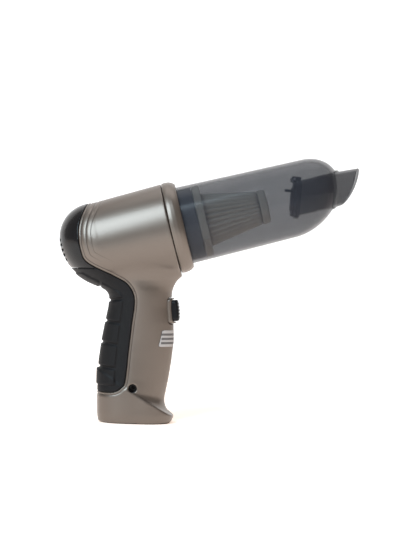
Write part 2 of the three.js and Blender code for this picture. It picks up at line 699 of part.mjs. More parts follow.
// ---- assembly ----
function surface(part) {
  const made = part.getMesh();
  const geometry = new THREE.BufferGeometry();
  geometry.setAttribute("position", new THREE.BufferAttribute(new Float32Array(made.vertProperties), 3));
  geometry.setIndex(new THREE.BufferAttribute(new Uint32Array(made.triVerts), 1));
  geometry.computeVertexNormals();
  return geometry;
}
function groupOf(frame, pieces) {
  const group = new THREE.Group();
  frame.decompose(group.position, group.quaternion, group.scale);
  for (const [name, part, material] of pieces) {
    const mesh = new THREE.Mesh(surface(part), material);
    mesh.name = name;
    group.add(mesh);
  }
  return group;
}
const level = new THREE.Matrix4();
const vacuum = new THREE.Group();
vacuum.add(
  groupOf(level, [
    ["right_housing", rightHousing, silverPaint],
    ["left_housing", leftHousing, silverPaint],
    ["rear_cap", rearCap(), blackGloss],
    ["grip_backstrap", backstrap(), blackRubber],
    ["foot_plate", footPlate(), blackPlastic],
    ["control_board", controlBoard, boardGreen],
    ["charge_socket", chargeSocket(), blackPlastic],
    ["rating_label", ratingLabel, labelPaper],
    ["trigger_bezel", triggerBezel(), silverPaint],
    ...SCREWS.map((at, i) => [`housing_screw_${i + 1}`, screw(at), steel]),
  ]),
  groupOf(barrelFrame, [
    ["lock_collar", lockCollar(), silverPaint],
    ["dust_cup", dustCup(), smokeClear],
    ["nozzle_duct", nozzleDuct(), smokeDark],
    ["spigot", spigot(), greyPlastic],
    ["spigot_seal", ring(32.5, 35, 27.6, 29, 36), blackRubber],
    ["filter_cage", filterCage(), whitePlastic],
    ["filter_pleats", filterPleats(), filterPaper],
    ["fan_housing", fanHousing(), blackPlastic],
    ["impeller", impeller(), whitePlastic],
    ["motor_can", motorCan, steel],
    ["motor_end_bell", motorBell, blackPlastic],
    ["front_bearing", motorBearing(-0.6), copper],
    ["rear_bearing", motorBearing(-46.6), copper],
    ["upper_magnet", magnet(1), foamGrey],
    ["lower_magnet", magnet(-1), foamGrey],
    ["armature", armature(), steel],
    ["commutator", commutator, copper],
    ["motor_shaft", shaft, steel],
    ["impeller_nut", shaftNut, steel],
    ["front_motor_mount", motorMount(-6, -1, 31.6), blackRubber],
    ["rear_motor_mount", motorMount(-35, -30, 27), blackRubber],
    ["exhaust_foam", disc(-53, -49.5, 18).translate(0, 0, 3), foamGrey],
  ]),
  groupOf(flapFrame, [
    ["flap_seat", flapSeat(), blackPlastic],
    ["inlet_flap", inletFlap(), blackRubber],
    ["flap_pin", crossBar(PIN_X, HINGE_Z, 1, -9.8, 9.8, 12), steel],
  ]),
  groupOf(cellFrame, [
    ["rear_battery_cell", cell(-9.4), cellWrap],
    ["front_battery_cell", cell(9.4), cellWrap],
    ["battery_strip", cellStrip, steel],
  ]),
  groupOf(triggerFrame, [
    ["trigger_button", triggerButton(), blackPlastic],
    ["micro_switch", microSwitch, blackPlastic],
  ]),
);

export default vacuum;
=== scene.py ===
import math

import bpy
import numpy as np
from mathutils import Matrix, Vector


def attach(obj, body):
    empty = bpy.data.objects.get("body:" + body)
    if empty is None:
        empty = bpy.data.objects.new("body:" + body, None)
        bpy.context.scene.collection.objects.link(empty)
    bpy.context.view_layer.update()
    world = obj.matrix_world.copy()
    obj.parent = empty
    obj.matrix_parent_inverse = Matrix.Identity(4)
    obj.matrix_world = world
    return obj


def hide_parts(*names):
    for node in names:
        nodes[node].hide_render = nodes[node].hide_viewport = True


# %% [markdown]
# # A pistol-grip handheld vacuum
#
# This lesson dresses a packed CAD model of a small cordless vacuum. The CAD model is the frame: it
# says where every piece is and how it moves. Blender adds what the frame leaves plain, which is
# smooth moulded skins, rubber pads, smoke-tinted plastic, a pleated filter and the finishes.
# Everything is in metres in the CAD model's own frame, with +X towards the nozzle and +Z up.

# %% Load the frame
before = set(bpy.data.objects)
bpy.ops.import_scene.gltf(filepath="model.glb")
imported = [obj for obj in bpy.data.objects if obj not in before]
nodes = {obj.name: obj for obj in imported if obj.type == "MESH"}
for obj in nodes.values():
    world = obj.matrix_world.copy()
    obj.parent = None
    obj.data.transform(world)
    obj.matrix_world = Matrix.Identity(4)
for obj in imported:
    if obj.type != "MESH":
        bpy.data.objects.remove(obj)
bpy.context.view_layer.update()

# %% [markdown]
# ## Working sizes
#
# A moulded body is easiest to describe in millimetres, so the shape functions below work in
# millimetres and each finished mesh is scaled to metres once. The barrel leans back, so it has a
# frame of its own: `a` runs along its axis, `r` points up and away from the axis, and y is shared.

# %% Barrel frame
RISE = 15
AXIS_HEIGHT = 148.4
BODY_FRONT = 25.5
WALL = 2.2
SKIN = 2.6
GAP = 0.3


def leaning_frame(x, z, rise):
    """A frame at x, z whose own X axis rises by a number of degrees, in millimetres."""
    return Matrix.Translation((x, 0, z)) @ Matrix.Rotation(-math.radians(rise), 4, "Y")


LEVEL = Matrix.Identity(4)
BARREL = leaning_frame(0, AXIS_HEIGHT, RISE)


def seen_from(place, points):
    """Points of the model's own frame as the frame `place` sees them."""
    turn = np.array(place.inverted())
    return points @ turn[:3, :3].T + turn[:3, 3]


print("barrel axis passes", AXIS_HEIGHT, "mm over the foot and rises", RISE, "degrees")

# %% [markdown]
# ## Shader maths as plain Python
#
# A finish is easiest to read as a formula, such as `tone * 0.4 + 0.1`. `Wire` wraps the output of a
# shader node, and every operator on it adds one Math node. `Bench` holds one material's node tree
# and has a single method that makes any other node: its settings go in first, then its inputs.

# %% Wires and benches


class Wire:
    """A node's output that takes part in sums."""

    def __init__(self, bench, socket):
        self.bench, self.socket = bench, socket

    def sum(self, operation, first, second=0.0):
        return self.bench.node("ShaderNodeMath", {"operation": operation}, {0: first, 1: second})

    def __add__(self, other):
        return self.sum("ADD", self, other)

    def __radd__(self, other):
        return self.sum("ADD", other, self)

    def __sub__(self, other):
        return self.sum("SUBTRACT", self, other)

    def __rsub__(self, other):
        return self.sum("SUBTRACT", other, self)

    def __mul__(self, other):
        return self.sum("MULTIPLY", self, other)

    def __rmul__(self, other):
        return self.sum("MULTIPLY", other, self)

    def __truediv__(self, other):
        return self.sum("DIVIDE", self, other)

    def __gt__(self, other):
        return self.sum("GREATER_THAN", self, other)

    def __lt__(self, other):
        return self.sum("LESS_THAN", self, other)

    def __abs__(self):
        return self.sum("ABSOLUTE", self)


class Bench:
    """One material's node tree, and its Principled shader."""

    def __init__(self, name):
        self.material = bpy.data.materials.new(name)
        self.material.use_nodes = True
        self.tree = self.material.node_tree
        self.shader = self.tree.nodes["Principled BSDF"]
        self.place = self.node("ShaderNodeTexCoord", {}, {}, "Object")

    def fill(self, made, inputs):
        for key, value in inputs.items():
            if isinstance(value, Wire):
                self.tree.links.new(value.socket, made.inputs[key])
            else:
                made.inputs[key].default_value = value

    def node(self, kind, settings, inputs, output=0):
        made = self.tree.nodes.new(kind)
        for key, value in settings.items():
            if key == "stops":
                ramp = made.color_ramp.elements
                while len(ramp) < len(value):
                    ramp.new(0.5)
                for stop, (position, tone) in zip(ramp, value):
                    stop.position, stop.color = position, (tone, tone, tone, 1)
            else:
                setattr(made, key, value)
        self.fill(made, inputs)
        return Wire(self, made.outputs[output])

    def noise(self, scale, detail=3.0):
        inputs = {"Vector": self.place, "Scale": scale, "Detail": detail}
        return self.node("ShaderNodeTexNoise", {}, inputs)

    def blend(self, share, dark, light):
        inputs = {0: share, 6: as_colour(dark), 7: as_colour(light)}
        return self.node("ShaderNodeMix", {"data_type": "RGBA", "clamp_factor": True}, inputs, 2)

    def bump(self, height, strength, distance):
        inputs = {"Height": height, "Strength": strength, "Distance": distance}
        return self.node("ShaderNodeBump", {}, inputs)


def as_colour(value):
    return value if isinstance(value, Wire) else (*value, 1)


print("a Wire knows", sum(name.startswith("__") for name in vars(Wire)), "special names")

# %% [markdown]
# ## Everyday finishes
#
# Moulded plastic, rubber, metal and paper differ in a few things: two close tones, how rough they
# are, how metallic, and what size of grain the surface has. One function makes them all, with noise
# read from Object coordinates, so the grain stays on the piece when it moves. Wear makes a surface a
# little rougher in large soft patches, which keeps a plain colour from looking like paint on a screen.

# %% One function for the plain finishes


def plain_finish(name, dark, light, rough, metal=0.0, grain=900.0, depth=0.05, gloss=0.5):
    bench = Bench(name)
    patches = bench.noise(38.0)
    fine = bench.noise(grain, 2.0)
    bench.fill(
        bench.shader,
        {
            "Base Color": bench.blend(patches * 0.6 + fine * 0.4, dark, light),
            "Roughness": patches * 0.12 + (rough - 0.06),
            "Metallic": metal,
            "Normal": bench.bump(fine, depth, 0.0004),
            "Specular IOR Level": gloss,
        },
    )
    return bench.material


cap_black = plain_finish(
    "cap_black", (0.004, 0.004, 0.005), (0.008, 0.008, 0.009), 0.17, 0, 500.0, 0.01, 0.35
)
pad_rubber = plain_finish(
    "pad_rubber", (0.004, 0.004, 0.005), (0.009, 0.0088, 0.0095), 0.55, 0, 1500.0, 0.16, 0.22
)
dark_plastic = plain_finish(
    "dark_plastic", (0.002, 0.002, 0.003), (0.005, 0.005, 0.006), 0.34, 0, 1800.0, 0.06, 0.25
)
grey_plastic = plain_finish("grey_plastic", (0.12, 0.13, 0.15), (0.17, 0.18, 0.2), 0.42, 0, 1400.0, 0.06)
cream_plastic = plain_finish("cream_plastic", (0.62, 0.58, 0.5), (0.72, 0.68, 0.6), 0.44, 0, 1200.0, 0.05)
bright_steel = plain_finish("bright_steel", (0.42, 0.42, 0.43), (0.62, 0.62, 0.63), 0.3, 1.0, 2200.0, 0.05)
copper = plain_finish("copper", (0.5, 0.21, 0.09), (0.68, 0.33, 0.17), 0.32, 1.0, 2000.0, 0.05)
magnet_grey = plain_finish("magnet_grey", (0.03, 0.03, 0.033), (0.06, 0.06, 0.064), 0.55, 0.2, 1100.0, 0.12)
foam_grey = plain_finish("foam_grey", (0.02, 0.02, 0.021), (0.09, 0.09, 0.094), 0.92, 0, 620.0, 0.7)
print("plain finishes:", len(bpy.data.materials))

# %% [markdown]
# ## Silver paint with fine lines
#
# The housing is painted a satin silver with fine metal flakes. Beside the black back it has a bright
# bead and a fine groove, and two fainter grooves cross the rear of the barrel. Grooves this fine are
# thinner than the mesh's faces, so the paint reads the distance from the split line, which each half
# carries as an attribute called `past_split`. Along each groove the paint dents itself and darkens its
# colour, which paints the shade that falls in the groove. The mesh has a soft groove at the same places,
# so the lines also catch the light.

# %% Silver paint
BEAD_WIDTH = 1.9
REAR_LINES = (6.1, 10.0)
REAR_LINES_FROM = (126, 134)


def silver_paint():
    bench = Bench("silver_paint")
    patches, flakes = bench.noise(24.0), bench.noise(4200.0, 1.0)
    past = bench.node("ShaderNodeAttribute", {"attribute_name": "past_split"}, {}, "Fac")
    height = bench.node("ShaderNodeSeparateXYZ", {}, {0: bench.place}, 2)
    low, high = (level / 1000 for level in REAR_LINES_FROM)
    upper = bench.node("ShaderNodeMapRange", {}, {"Value": height, "From Min": low, "From Max": high})

    def line(at, half_width):
        near = 1 - abs(past - at / 1000) / (half_width / 1000)
        return bench.node("ShaderNodeMath", {"operation": "MAXIMUM"}, {0: near, 1: 0.0})

    # In the colour, these lines are painted shade: a dark line where shade falls in each groove. In the
    # bump they are dents.
    lines = line(BEAD_WIDTH, 0.45) + line(REAR_LINES[0], 0.42) * upper
    lines = lines + line(REAR_LINES[1], 0.4) * upper * 0.55
    paint = bench.blend(patches * 0.5 + flakes * 0.5, (0.165, 0.138, 0.118), (0.225, 0.19, 0.164))
    relief = flakes * 0.06 - lines
    bench.fill(
        bench.shader,
        {
            # Base colour: the silver, darkened by painted groove shade along the lines.
            "Base Color": bench.blend(lines * 0.8, paint, (0.03, 0.026, 0.024)),
            "Roughness": patches * 0.1 + 0.34,
            "Metallic": 0.85,
            "Normal": bench.bump(relief, 0.35, 0.0004),
            "Coat Weight": 0.15,
            "Coat Roughness": 0.12,
        },
    )
    return bench.material


silver = silver_paint()
print("the bead beside the split is", BEAD_WIDTH, "mm wide")

# %% [markdown]
# ## Smoke-tinted clear plastic
#
# The dust cup and its nozzle are moulded in one see-through plastic with a grey tint. A clear wall
# could be made with real refraction, but two walls inside each other then need many light bounces.
# Here the surface lets part of the light straight through and keeps its gloss: Alpha says how much
# smoke it holds. Each point carries its depth in the wall, and the outer face holds more of the smoke
# than the inner one, so the cup's outline is as dark as its middle. Faint dust patches vary it a little.

# %% Smoke finish

SMOKE_FROM, SMOKE_TO = 0.0003, 0.0015


def smoke(name, dark, light, outer, inner):
    bench = Bench(name)
    dust = bench.noise(22.0)
    depth = bench.node("ShaderNodeAttribute", {"attribute_name": "depth_in_wall"}, {}, "Fac")
    span = {"Value": depth, "From Min": SMOKE_FROM, "From Max": SMOKE_TO}
    from_outside = bench.node("ShaderNodeMapRange", {}, span)
    bench.fill(
        bench.shader,
        {
            "Base Color": bench.blend(dust, dark, light),
            "Roughness": dust * 0.08 + 0.12,
            "Alpha": dust * 0.06 + from_outside * (inner - outer) + outer,
            "IOR": 1.45,
            "Specular IOR Level": 0.18,
        },
    )
    bench.material.surface_render_method = "BLENDED"
    return bench.material


cup_smoke = smoke("cup_smoke", (0.028, 0.03, 0.038), (0.048, 0.051, 0.063), 0.59, 0.18)
duct_smoke = smoke("duct_smoke", (0.012, 0.012, 0.016), (0.025, 0.025, 0.031), 0.6, 0.3)
print("smoke finishes: cup_smoke and duct_smoke")

# %% [markdown]
# ## Finishes with a pattern
#
# The filter paper has fibres, a cell has a printed wrap with a band, the circuit board has traces,
# and the rating label has three plain bars where a real one has print. Each pattern is a formula on
# Object coordinates. The bars stand for print, and no letter is drawn.

# %% Paper, wrap, board and label


def filter_paper():
    bench = Bench("filter_paper")
    fibres, dust = bench.noise(3200.0, 4.0), bench.noise(70.0)
    tone = bench.blend(dust * 0.7 + fibres * 0.3, (0.74, 0.69, 0.6), (0.9, 0.86, 0.78))
    bench.fill(
        bench.shader,
        {"Base Color": tone, "Roughness": fibres * 0.1 + 0.85, "Normal": bench.bump(fibres, 0.3, 0.0003)},
    )
    return bench.material


def banded(name, body, band, low, high, rough):
    """A body colour with one band between two heights, in metres."""
    bench = Bench(name)
    height = bench.node("ShaderNodeSeparateXYZ", {}, {0: bench.place}, 2)
    scuff = bench.noise(160.0)
    inside = (height > low) * (height < high)
    bench.fill(
        bench.shader,
        {"Base Color": bench.blend(inside, body, band), "Roughness": scuff * 0.2 + rough},
    )
    return bench.material


def board():
    bench = Bench("board_green")
    white = (1, 1, 1, 1)
    bricks = {"Vector": bench.place, "Scale": 190.0, "Mortar Size": 0.03, "Color1": white, "Color2": white}
    traces = bench.node("ShaderNodeTexBrick", {"offset": 0.5}, bricks, 1)
    tone = bench.blend(traces, (0.008, 0.09, 0.03), (0.03, 0.2, 0.08))
    bench.fill(bench.shader, {"Base Color": tone, "Roughness": bench.noise(300.0) * 0.1 + 0.3})
    return bench.material


LABEL_LOW, LABEL_HIGH = 61.0, 74.0
LABEL_LEFT, LABEL_RIGHT = (-14.0, -12.6), -2.5
BAR_HEIGHTS = (63.9, 67.3, 70.7)
BARS_FROM = -13.2


def label_paper():
    bench = Bench("label_paper")
    across, height = (bench.node("ShaderNodeSeparateXYZ", {}, {0: bench.place}, axis) for axis in (1, 2))
    bars = sum(abs(height - level / 1000) < 0.0009 for level in BAR_HEIGHTS) * (across > BARS_FROM / 1000)
    grain = bench.noise(900.0)
    tone = bench.blend(bars * 0.8 + grain * 0.1, (0.5, 0.47, 0.46), (0.06, 0.055, 0.055))
    bench.fill(bench.shader, {"Base Color": tone, "Roughness": grain * 0.1 + 0.45})
    return bench.material


paper = filter_paper()
cell_wrap = banded("cell_wrap", (0.03, 0.16, 0.36), (0.72, 0.74, 0.76), 0.066, 0.070, 0.25)
board_green = board()
label = label_paper()
print("patterned finishes:", paper.name, cell_wrap.name, board_green.name, label.name)

# %% [markdown]
# ## From a rule to a skin
#
# A moulded shell has no straight lines and no seams where its volumes meet, so it isn't built from
# boxes. It is a rule instead: a function that is negative inside the plastic and positive outside.
# Rules combine simply. The larger of two is their overlap, the smaller is their union, and rounding
# that choice gives a moulded fillet. `skin` samples a rule on a grid, puts one point in each cell
# that the surface passes through, joins the points into quads, and slides them onto the surface.

# %% Rules that join with a fillet


def overlap(first, second, fillet=0.0):
    if not np.any(fillet):
        return np.maximum(first, second)
    near = np.clip(fillet - np.abs(first - second), 0, None) / fillet
    return np.maximum(first, second) + near * near * fillet / 4


def union(first, second, fillet=0.0):
    return -overlap(-first, -second, fillet)


def without(first, second, fillet=0.0):
    return overlap(first, -second, fillet)


def slope_of(rule, points, step=0.02):
    sides = []
    for axis in range(3):
        shift = np.zeros(3)
        shift[axis] = step
        sides.append((rule(points + shift) - rule(points - shift)) / (2 * step))
    return np.stack(sides, 1)


print("rounded overlap of two planes at their edge:", overlap(np.zeros(1), np.zeros(1), 2.0)[0], "mm out")

# %% A skin over a rule
CORNERS = np.array([(i, j, k) for i in (0, 1) for j in (0, 1) for k in (0, 1)])
EDGES = [(a, b) for a in range(8) for b in range(a + 1, 8) if np.abs(CORNERS[a] - CORNERS[b]).sum() == 1]


def net(rule, low, high, step):
    """Points and quads of the surface where the rule is zero, inside a box."""
    lines = [np.arange(l - 2 * step, h + 3 * step, step) for l, h in zip(low, high)]
    shape = tuple(len(line) for line in lines)
    grid = np.stack(np.meshgrid(*lines, indexing="ij"), -1).reshape(-1, 3)
    values = np.concatenate([rule(part) for part in np.array_split(grid, max(1, len(grid) // 400000))])
    values = values.reshape(shape)
    solid = values < 0
    cells = tuple(n - 1 for n in shape)
    filled = np.zeros(cells, np.int8)
    for i, j, k in CORNERS:
        filled += solid[i : i + cells[0], j : j + cells[1], k : k + cells[2]]
    crossed = (filled > 0) & (filled < 8)
    where = np.argwhere(crossed)
    number = np.full(cells, -1)
    number[crossed] = np.arange(len(where))
    at = np.stack([values[tuple((where + c).T)] for c in CORNERS], 1)
    total, count = np.zeros((len(where), 3)), np.zeros((len(where), 1))
    for a, b in EDGES:
        cut = ((at[:, a] < 0) != (at[:, b] < 0))[:, None]
        share = (at[:, a] / np.where(at[:, a] == at[:, b], 1, at[:, a] - at[:, b]))[:, None]
        total += np.where(cut, CORNERS[a] + share * (CORNERS[b] - CORNERS[a]), 0)
        count += cut
    points = (where + total / count) * step + [line[0] for line in lines]
    quads = []
    for axis in range(3):
        u, v = (axis + 1) % 3, (axis + 2) % 3
        ahead = np.eye(3, dtype=int)[axis]
        within = tuple(slice(None) if i == axis else slice(1, -1) for i in range(3))
        edge = np.argwhere(np.diff(solid.astype(np.int8), axis=axis)[within]) + (1 - ahead)
        outward = solid[tuple(edge.T)]
        back_u, back_v = np.eye(3, dtype=int)[u], np.eye(3, dtype=int)[v]
        ring = [number[tuple((edge - s).T)] for s in (back_u + back_v, back_v, 0 * back_u, back_u)]
        ring = np.stack(ring, 1)
        ring[~outward] = ring[~outward][:, ::-1]
        quads.append(ring)
    return points, np.concatenate(quads)


def relaxed(points, quads):
    """Each point moved half way to the middle of its neighbours."""
    total, count = np.zeros_like(points), np.zeros(len(points))
    for side in range(4):
        a, b = quads[:, side], quads[:, (side + 1) % 4]
        for start, end in ((a, b), (b, a)):
            for axis in range(3):
                total[:, axis] += np.bincount(start, points[end, axis], len(points))
            count += np.bincount(start, minlength=len(points))
    return (points + total / np.maximum(count, 1)[:, None]) / 2


def settle(rule, points, most):
    slope = slope_of(rule, points)
    length2 = np.maximum((slope**2).sum(1), 0.05)
    move = -(rule(points) / length2)[:, None] * slope
    size = np.linalg.norm(move, axis=1, keepdims=True)
    return points + move * np.minimum(1, most / np.maximum(size, 1e-9))


def skin(name, rule, low, high, step, material, place=LEVEL):
    """A named mesh of the rule's surface. The box, the step and the rule are in the frame `place`."""
    step = step
    points, quads = net(rule, low, high, step)
    for _ in range(2):
        points = settle(rule, relaxed(points, quads), step * 0.6)
    points = settle(rule, points, step * 0.6)
    turn = np.array(place)
    made = piece_of(name, points @ turn[:3, :3].T + turn[:3, 3], quads, material)
    print(f"{name}: {len(quads)} quads")
    return made


def piece_of(name, points_mm, faces, material, sharp=None):
    mesh = bpy.data.meshes.new(name)
    points = (np.asarray(points_mm, float) / 1000).tolist()
    mesh.from_pydata(points, [], [list(map(int, face)) for face in faces])
    mesh.polygons.foreach_set("use_smooth", [True] * len(mesh.polygons))
    mesh.materials.append(material)
    made = bpy.data.objects.new(name, mesh)
    bpy.context.scene.collection.objects.link(made)
    if sharp:
        mesh.set_sharp_from_angle(angle=math.radians(sharp))
    return made


def remember(piece, title, rule):
    """Stores a rule's value at each point of a piece, in metres, for its finish to read."""
    points = np.empty(len(piece.data.vertices) * 3)
    piece.data.vertices.foreach_get("co", points)
    stored = piece.data.attributes.new(title, "FLOAT", "POINT")
    stored.data.foreach_set("value", rule(points.reshape(-1, 3) * 1000) / 1000)


# %% [markdown]
# ## The body as one form
#
# The real body is two mirrored mouldings that follow one outer form: a slightly conical barrel with
# a domed rear, a grip with oval sections that change down its length, and a foot with a toe. The
# sections are the frame's own, so the skin lies where the CAD shell lies. The union is rounded at
# the throat, where a real mould needs a fillet for strength and for the hand.

# %% Barrel, grip and foot
GRIP = np.array(
    [
        [1, -29.2, 22, 20.2],
        [9, -30, 22.4, 20.4],
        [20, -30.4, 23.4, 20.2],
        [35, -29.8, 26.1, 19.2],
        [50, -28.9, 28.2, 18.8],
        [65, -27.2, 29.6, 18.8],
        [80, -24.6, 29.1, 19.2],
        [92, -22.4, 27.3, 19.8],
        [100, -22, 27, 20.2],
        [105, -24.5, 27.2, 20.6],
        [109, -31, 28.4, 21],
        [113, -36, 30.4, 21.4],
        [118, -38, 35, 21.8],
        [124, -36, 34, 22],
    ]
)
FOOT = np.array([[0.8, -28.4, 29.2, 20], [6.5, -29.8, 31.4, 20.6], [36, -30.4, 31.4, 20.2]])
FOOT_TOP, FOOT_SLOPE = 24.0, -0.58


def smooth_column(rows, column, heights):
    """A section size at any height: the table's values, eased so that no section shows as a ring."""
    fine = np.arange(rows[0, 0], rows[-1, 0] + 0.25, 0.25)
    plain = np.interp(fine, rows[:, 0], rows[:, column])
    reach = np.hanning(19)
    eased = np.convolve(np.pad(plain, 9, mode="edge"), reach / reach.sum(), "valid")
    return np.interp(heights, fine, eased)


def oval(points, rows, back_round, front_round):
    """How far each point is outside an oval column, measured away from the column's middle."""
    x, y, z = points.T
    back, front, half = (smooth_column(rows, column, z) for column in (1, 2, 3))
    across, along = np.abs(y), x - (back + front) / 2
    power = np.where(along > 0, front_round, back_round)
    reach = ((np.abs(along) / ((front - back) / 2)) ** power + (across / half) ** power) ** (1 / power)
    return np.hypot(along, across) * (1 - 1 / np.maximum(reach, 1e-3))


def barrel(points):
    a, y, r = seen_from(BARREL, points).T
    past = np.maximum(0, -30 - a)
    out = np.hypot(y, r - 5.9 * past / 33.6)
    tube = out - np.interp(a, [-30, 29.5], [34.3, 36.4])
    dome = (np.hypot(past / 33.6, out / 34.3) - 1) * 34
    return np.where(a < -30, dome, tube)


def body(points):
    x, _, z = points.T
    grip = overlap(oval(points, GRIP, 2.5, 1.7), 0.8 - z, 1.6)
    foot = overlap(oval(points, FOOT, 2.6, 2.6), 0.8 - z, 1.6)
    foot = overlap(foot, (z - FOOT_TOP - FOOT_SLOPE * x) / math.hypot(1, FOOT_SLOPE), 1.2)
    grip = overlap(grip, z - 124, 2)
    scoop = np.interp(x, [2, 20], [1.0, 9.0])
    return union(union(barrel(points), grip, 6.0), foot, scoop)


def cut_front(points):
    return seen_from(BARREL, points)[:, 0] - BODY_FRONT


probe = np.array([[0, 0, 60.0], [0, 30, 60.0]])
print("the rule at the grip's middle and beside it:", body(probe).round(1))

# %% [markdown]
# ## Where silver meets black
#
# One flowing line parts the silver sides from the black back. It is drawn once, seen from the side,
# as a smooth curve through the frame's own points. `beyond_split` gives the distance from it:
# positive over the silver, negative over the black. The rear cap, the backstrap, the bead and the
# pads all read this distance, so they follow the same line.

# %% The split line
SPLIT = np.array(
    [
        [-37, 184],
        [-42, 171.6],
        [-46.4, 152],
        [-43.6, 134],
        [-38, 125.3],
        [-18.3, 115.9],
        [-7.1, 109.4],
        [-1.7, 98],
        [-3.5, 77],
        [-5.3, 57],
        [-7.2, 34],
        [-10.2, 28],
        [-17.4, 24.4],
        [-34, 24.8],
    ]
)


def smooth_line(corners, steps=12):
    """A smooth curve through the corners, leaving each in the direction of its neighbours."""
    padded = np.vstack([corners[:1], corners, corners[-1:]])
    line = []
    for i in range(len(corners) - 1):
        p0, p1, p2, p3 = padded[i : i + 4]
        for t in np.arange(steps) / steps:
            line.append(
                p1
                + (p2 - p0) * t / 2
                + (2 * p0 - 5 * p1 + 4 * p2 - p3) * t * t / 2
                + (3 * p1 - p0 - 3 * p2 + p3) * t**3 / 2
            )
    return np.array(line + [corners[-1]])


def distance_table(line, low, high, pitch=0.5):
    xs, zs = (np.arange(l, h, pitch) for l, h in zip(low, high))
    spots = np.stack(np.meshgrid(xs, zs, indexing="ij"), -1)
    nearest, winding = np.full(spots.shape[:2], 1e9), np.zeros(spots.shape[:2], bool)
    for p, q in zip(line, line[1:]):
        way = q - p
        share = np.clip(((spots - p) @ way) / (way @ way), 0, 1)
        nearest = np.minimum(nearest, np.linalg.norm(spots - p - share[..., None] * way, axis=-1))
    far = [[-400, line[-1, 1]], [-400, 400], [line[0, 0], 400], line[0]]
    ring = np.vstack([line, far])
    for p, q in zip(ring, ring[1:]):
        if p[1] != q[1]:
            spans = (p[1] > spots[..., 1]) != (q[1] > spots[..., 1])
            crossing = p[0] + (spots[..., 1] - p[1]) * (q[0] - p[0]) / (q[1] - p[1])
            winding ^= spans & (spots[..., 0] < crossing)
    return np.where(winding, -nearest, nearest), xs, zs


SPLIT_TABLE, SPLIT_X, SPLIT_Z = distance_table(smooth_line(SPLIT), (-75, -10), (60, 215))


def beyond_split(points):
    pitch = SPLIT_X[1] - SPLIT_X[0]
    u = np.clip((points[:, 0] - SPLIT_X[0]) / pitch, 0, len(SPLIT_X) - 1.001)
    v = np.clip((points[:, 2] - SPLIT_Z[0]) / pitch, 0, len(SPLIT_Z) - 1.001)
    i, j = u.astype(int), v.astype(int)
    u, v = u - i, v - j
    rows = SPLIT_TABLE[i, j] * (1 - v) + SPLIT_TABLE[i, j + 1] * v
    return rows * (1 - u) + (SPLIT_TABLE[i + 1, j] * (1 - v) + SPLIT_TABLE[i + 1, j + 1] * v) * u


split_steps = np.linalg.norm(np.diff(smooth_line(SPLIT), axis=0), axis=1)
print("split line length:", round(float(split_steps.sum())), "mm")

# %% [markdown]
# ## Two silver halves
#
# Each half of the housing is an injection moulding with a wall of about two millimetres, screwed to
# the other along the middle. The wall is the body minus a smaller copy of itself. Where the black
# back lies over it, the outside is set in by the thickness of that skin. A shallow groove runs
# beside the split line, so that a thin bright bead is left at the silver's edge. The right half has
# the hole for the charging plug, and the left half has the screw holes.

# %% The housing rule
SCREWS = [(-14.8, 118.6), (20.5, 106), (3.2, 98.5), (16.5, 7.7), (-21, 8.6)]
SOCKET = (-1.2, 28)
TRIGGER = leaning_frame(27.9, 89.5, 5.9)


def round_hole(points, centre, radius):
    return np.hypot(points[:, 0] - centre[0], points[:, 2] - centre[1]) - radius


def block_in_plane(u, v, half_u, half_v, corner):
    """Distance from a rounded rectangle about the origin."""
    du, dv = np.abs(u) - half_u + corner, np.abs(v) - half_v + corner
    return np.hypot(np.maximum(du, 0), np.maximum(dv, 0)) + np.minimum(np.maximum(du, dv), 0) - corner


def tube_part(a, out, low, high, inner, outer):
    return np.maximum(np.maximum(low - a, a - high), np.maximum(inner - out, out - outer))


def dip(distance, at, width=0.7):
    return np.exp(-(((distance - at) / width) ** 2))


def housing(points):
    whole, split = body(points), beyond_split(points)
    upper = np.interp(points[:, 2], REAR_LINES_FROM, [0, 1])
    rear_lines = 0.3 * dip(split, REAR_LINES[0]) + 0.1 * dip(split, REAR_LINES[1])
    groove = 0.45 * dip(split, BEAD_WIDTH) + rear_lines * upper
    outside = union(overlap(whole + groove, GAP / 2 - split, 0.9), whole + SKIN + GAP)
    outside = overlap(outside, cut_front(points), 0.8)
    hollow = union(whole + SKIN + GAP + WALL, overlap(whole + WALL, WALL - split))
    a, y, r = seen_from(BARREL, points).T
    out = np.hypot(y, r)
    neck = union(tube_part(a, out, 22.5, 25.5, 28.8, 35.4), tube_part(a, out, 25, 28.9, 28.8, 30.3))
    neck = union(neck, tube_part(a, out, 28, 28.9, 28.8, 32.8))
    bosses = np.min([round_hole(points, centre, 3.5) for centre in SCREWS], axis=0)
    shell = union(without(outside, hollow), np.maximum(bosses, whole + 1), 0.5)
    shell = union(shell, neck)
    shell = without(shell, np.maximum(out - 28.8, -a))
    vent = np.maximum(np.hypot(y, r - 3) - 20, a + 42)
    shell = without(shell, vent)
    out_x, out_y, out_z = seen_from(TRIGGER, points).T
    button = np.maximum(block_in_plane(out_y, out_z, 8, 10.5, 3), np.maximum(-9 - out_x, out_x - 6))
    base = np.maximum(oval(points, FOOT, 2.6, 2.6) + WALL, points[:, 2] - 4)
    return without(without(shell, button, 0.5), base)


def right_half(points):
    hole = np.maximum(round_hole(points, SOCKET, 3.3), points[:, 1] + 5)
    return overlap(without(housing(points), hole, 0.6), points[:, 1] + GAP / 2, 0.7)


def left_half(points):
    shell = overlap(housing(points), GAP / 2 - points[:, 1], 0.7)
    for centre in SCREWS:
        shell = without(shell, np.maximum(round_hole(points, centre, 3.1), 7 - points[:, 1]), 0.5)
    return shell


BODY_LOW, BODY_HIGH = (-60, -37.5, 0), (38, 37.5, 191)
right = skin("right_housing_skin", right_half, BODY_LOW, (38, 0, 191), 0.75, silver)
left = skin("left_housing_skin", left_half, (-60, 0, 0), BODY_HIGH, 0.75, silver)
for half in (right, left):
    remember(half, "past_split", beyond_split)

# %% [markdown]
# ## Glossy rear cap with exhaust slots
#
# The barrel's dome is a separate glossy cap. The motor's warm air leaves through seven rows of slots
# in its back, which are cut through the whole skin, in the barrel's own frame. They stop short of the
# middle, where a solid spine keeps the dome's profile smooth.

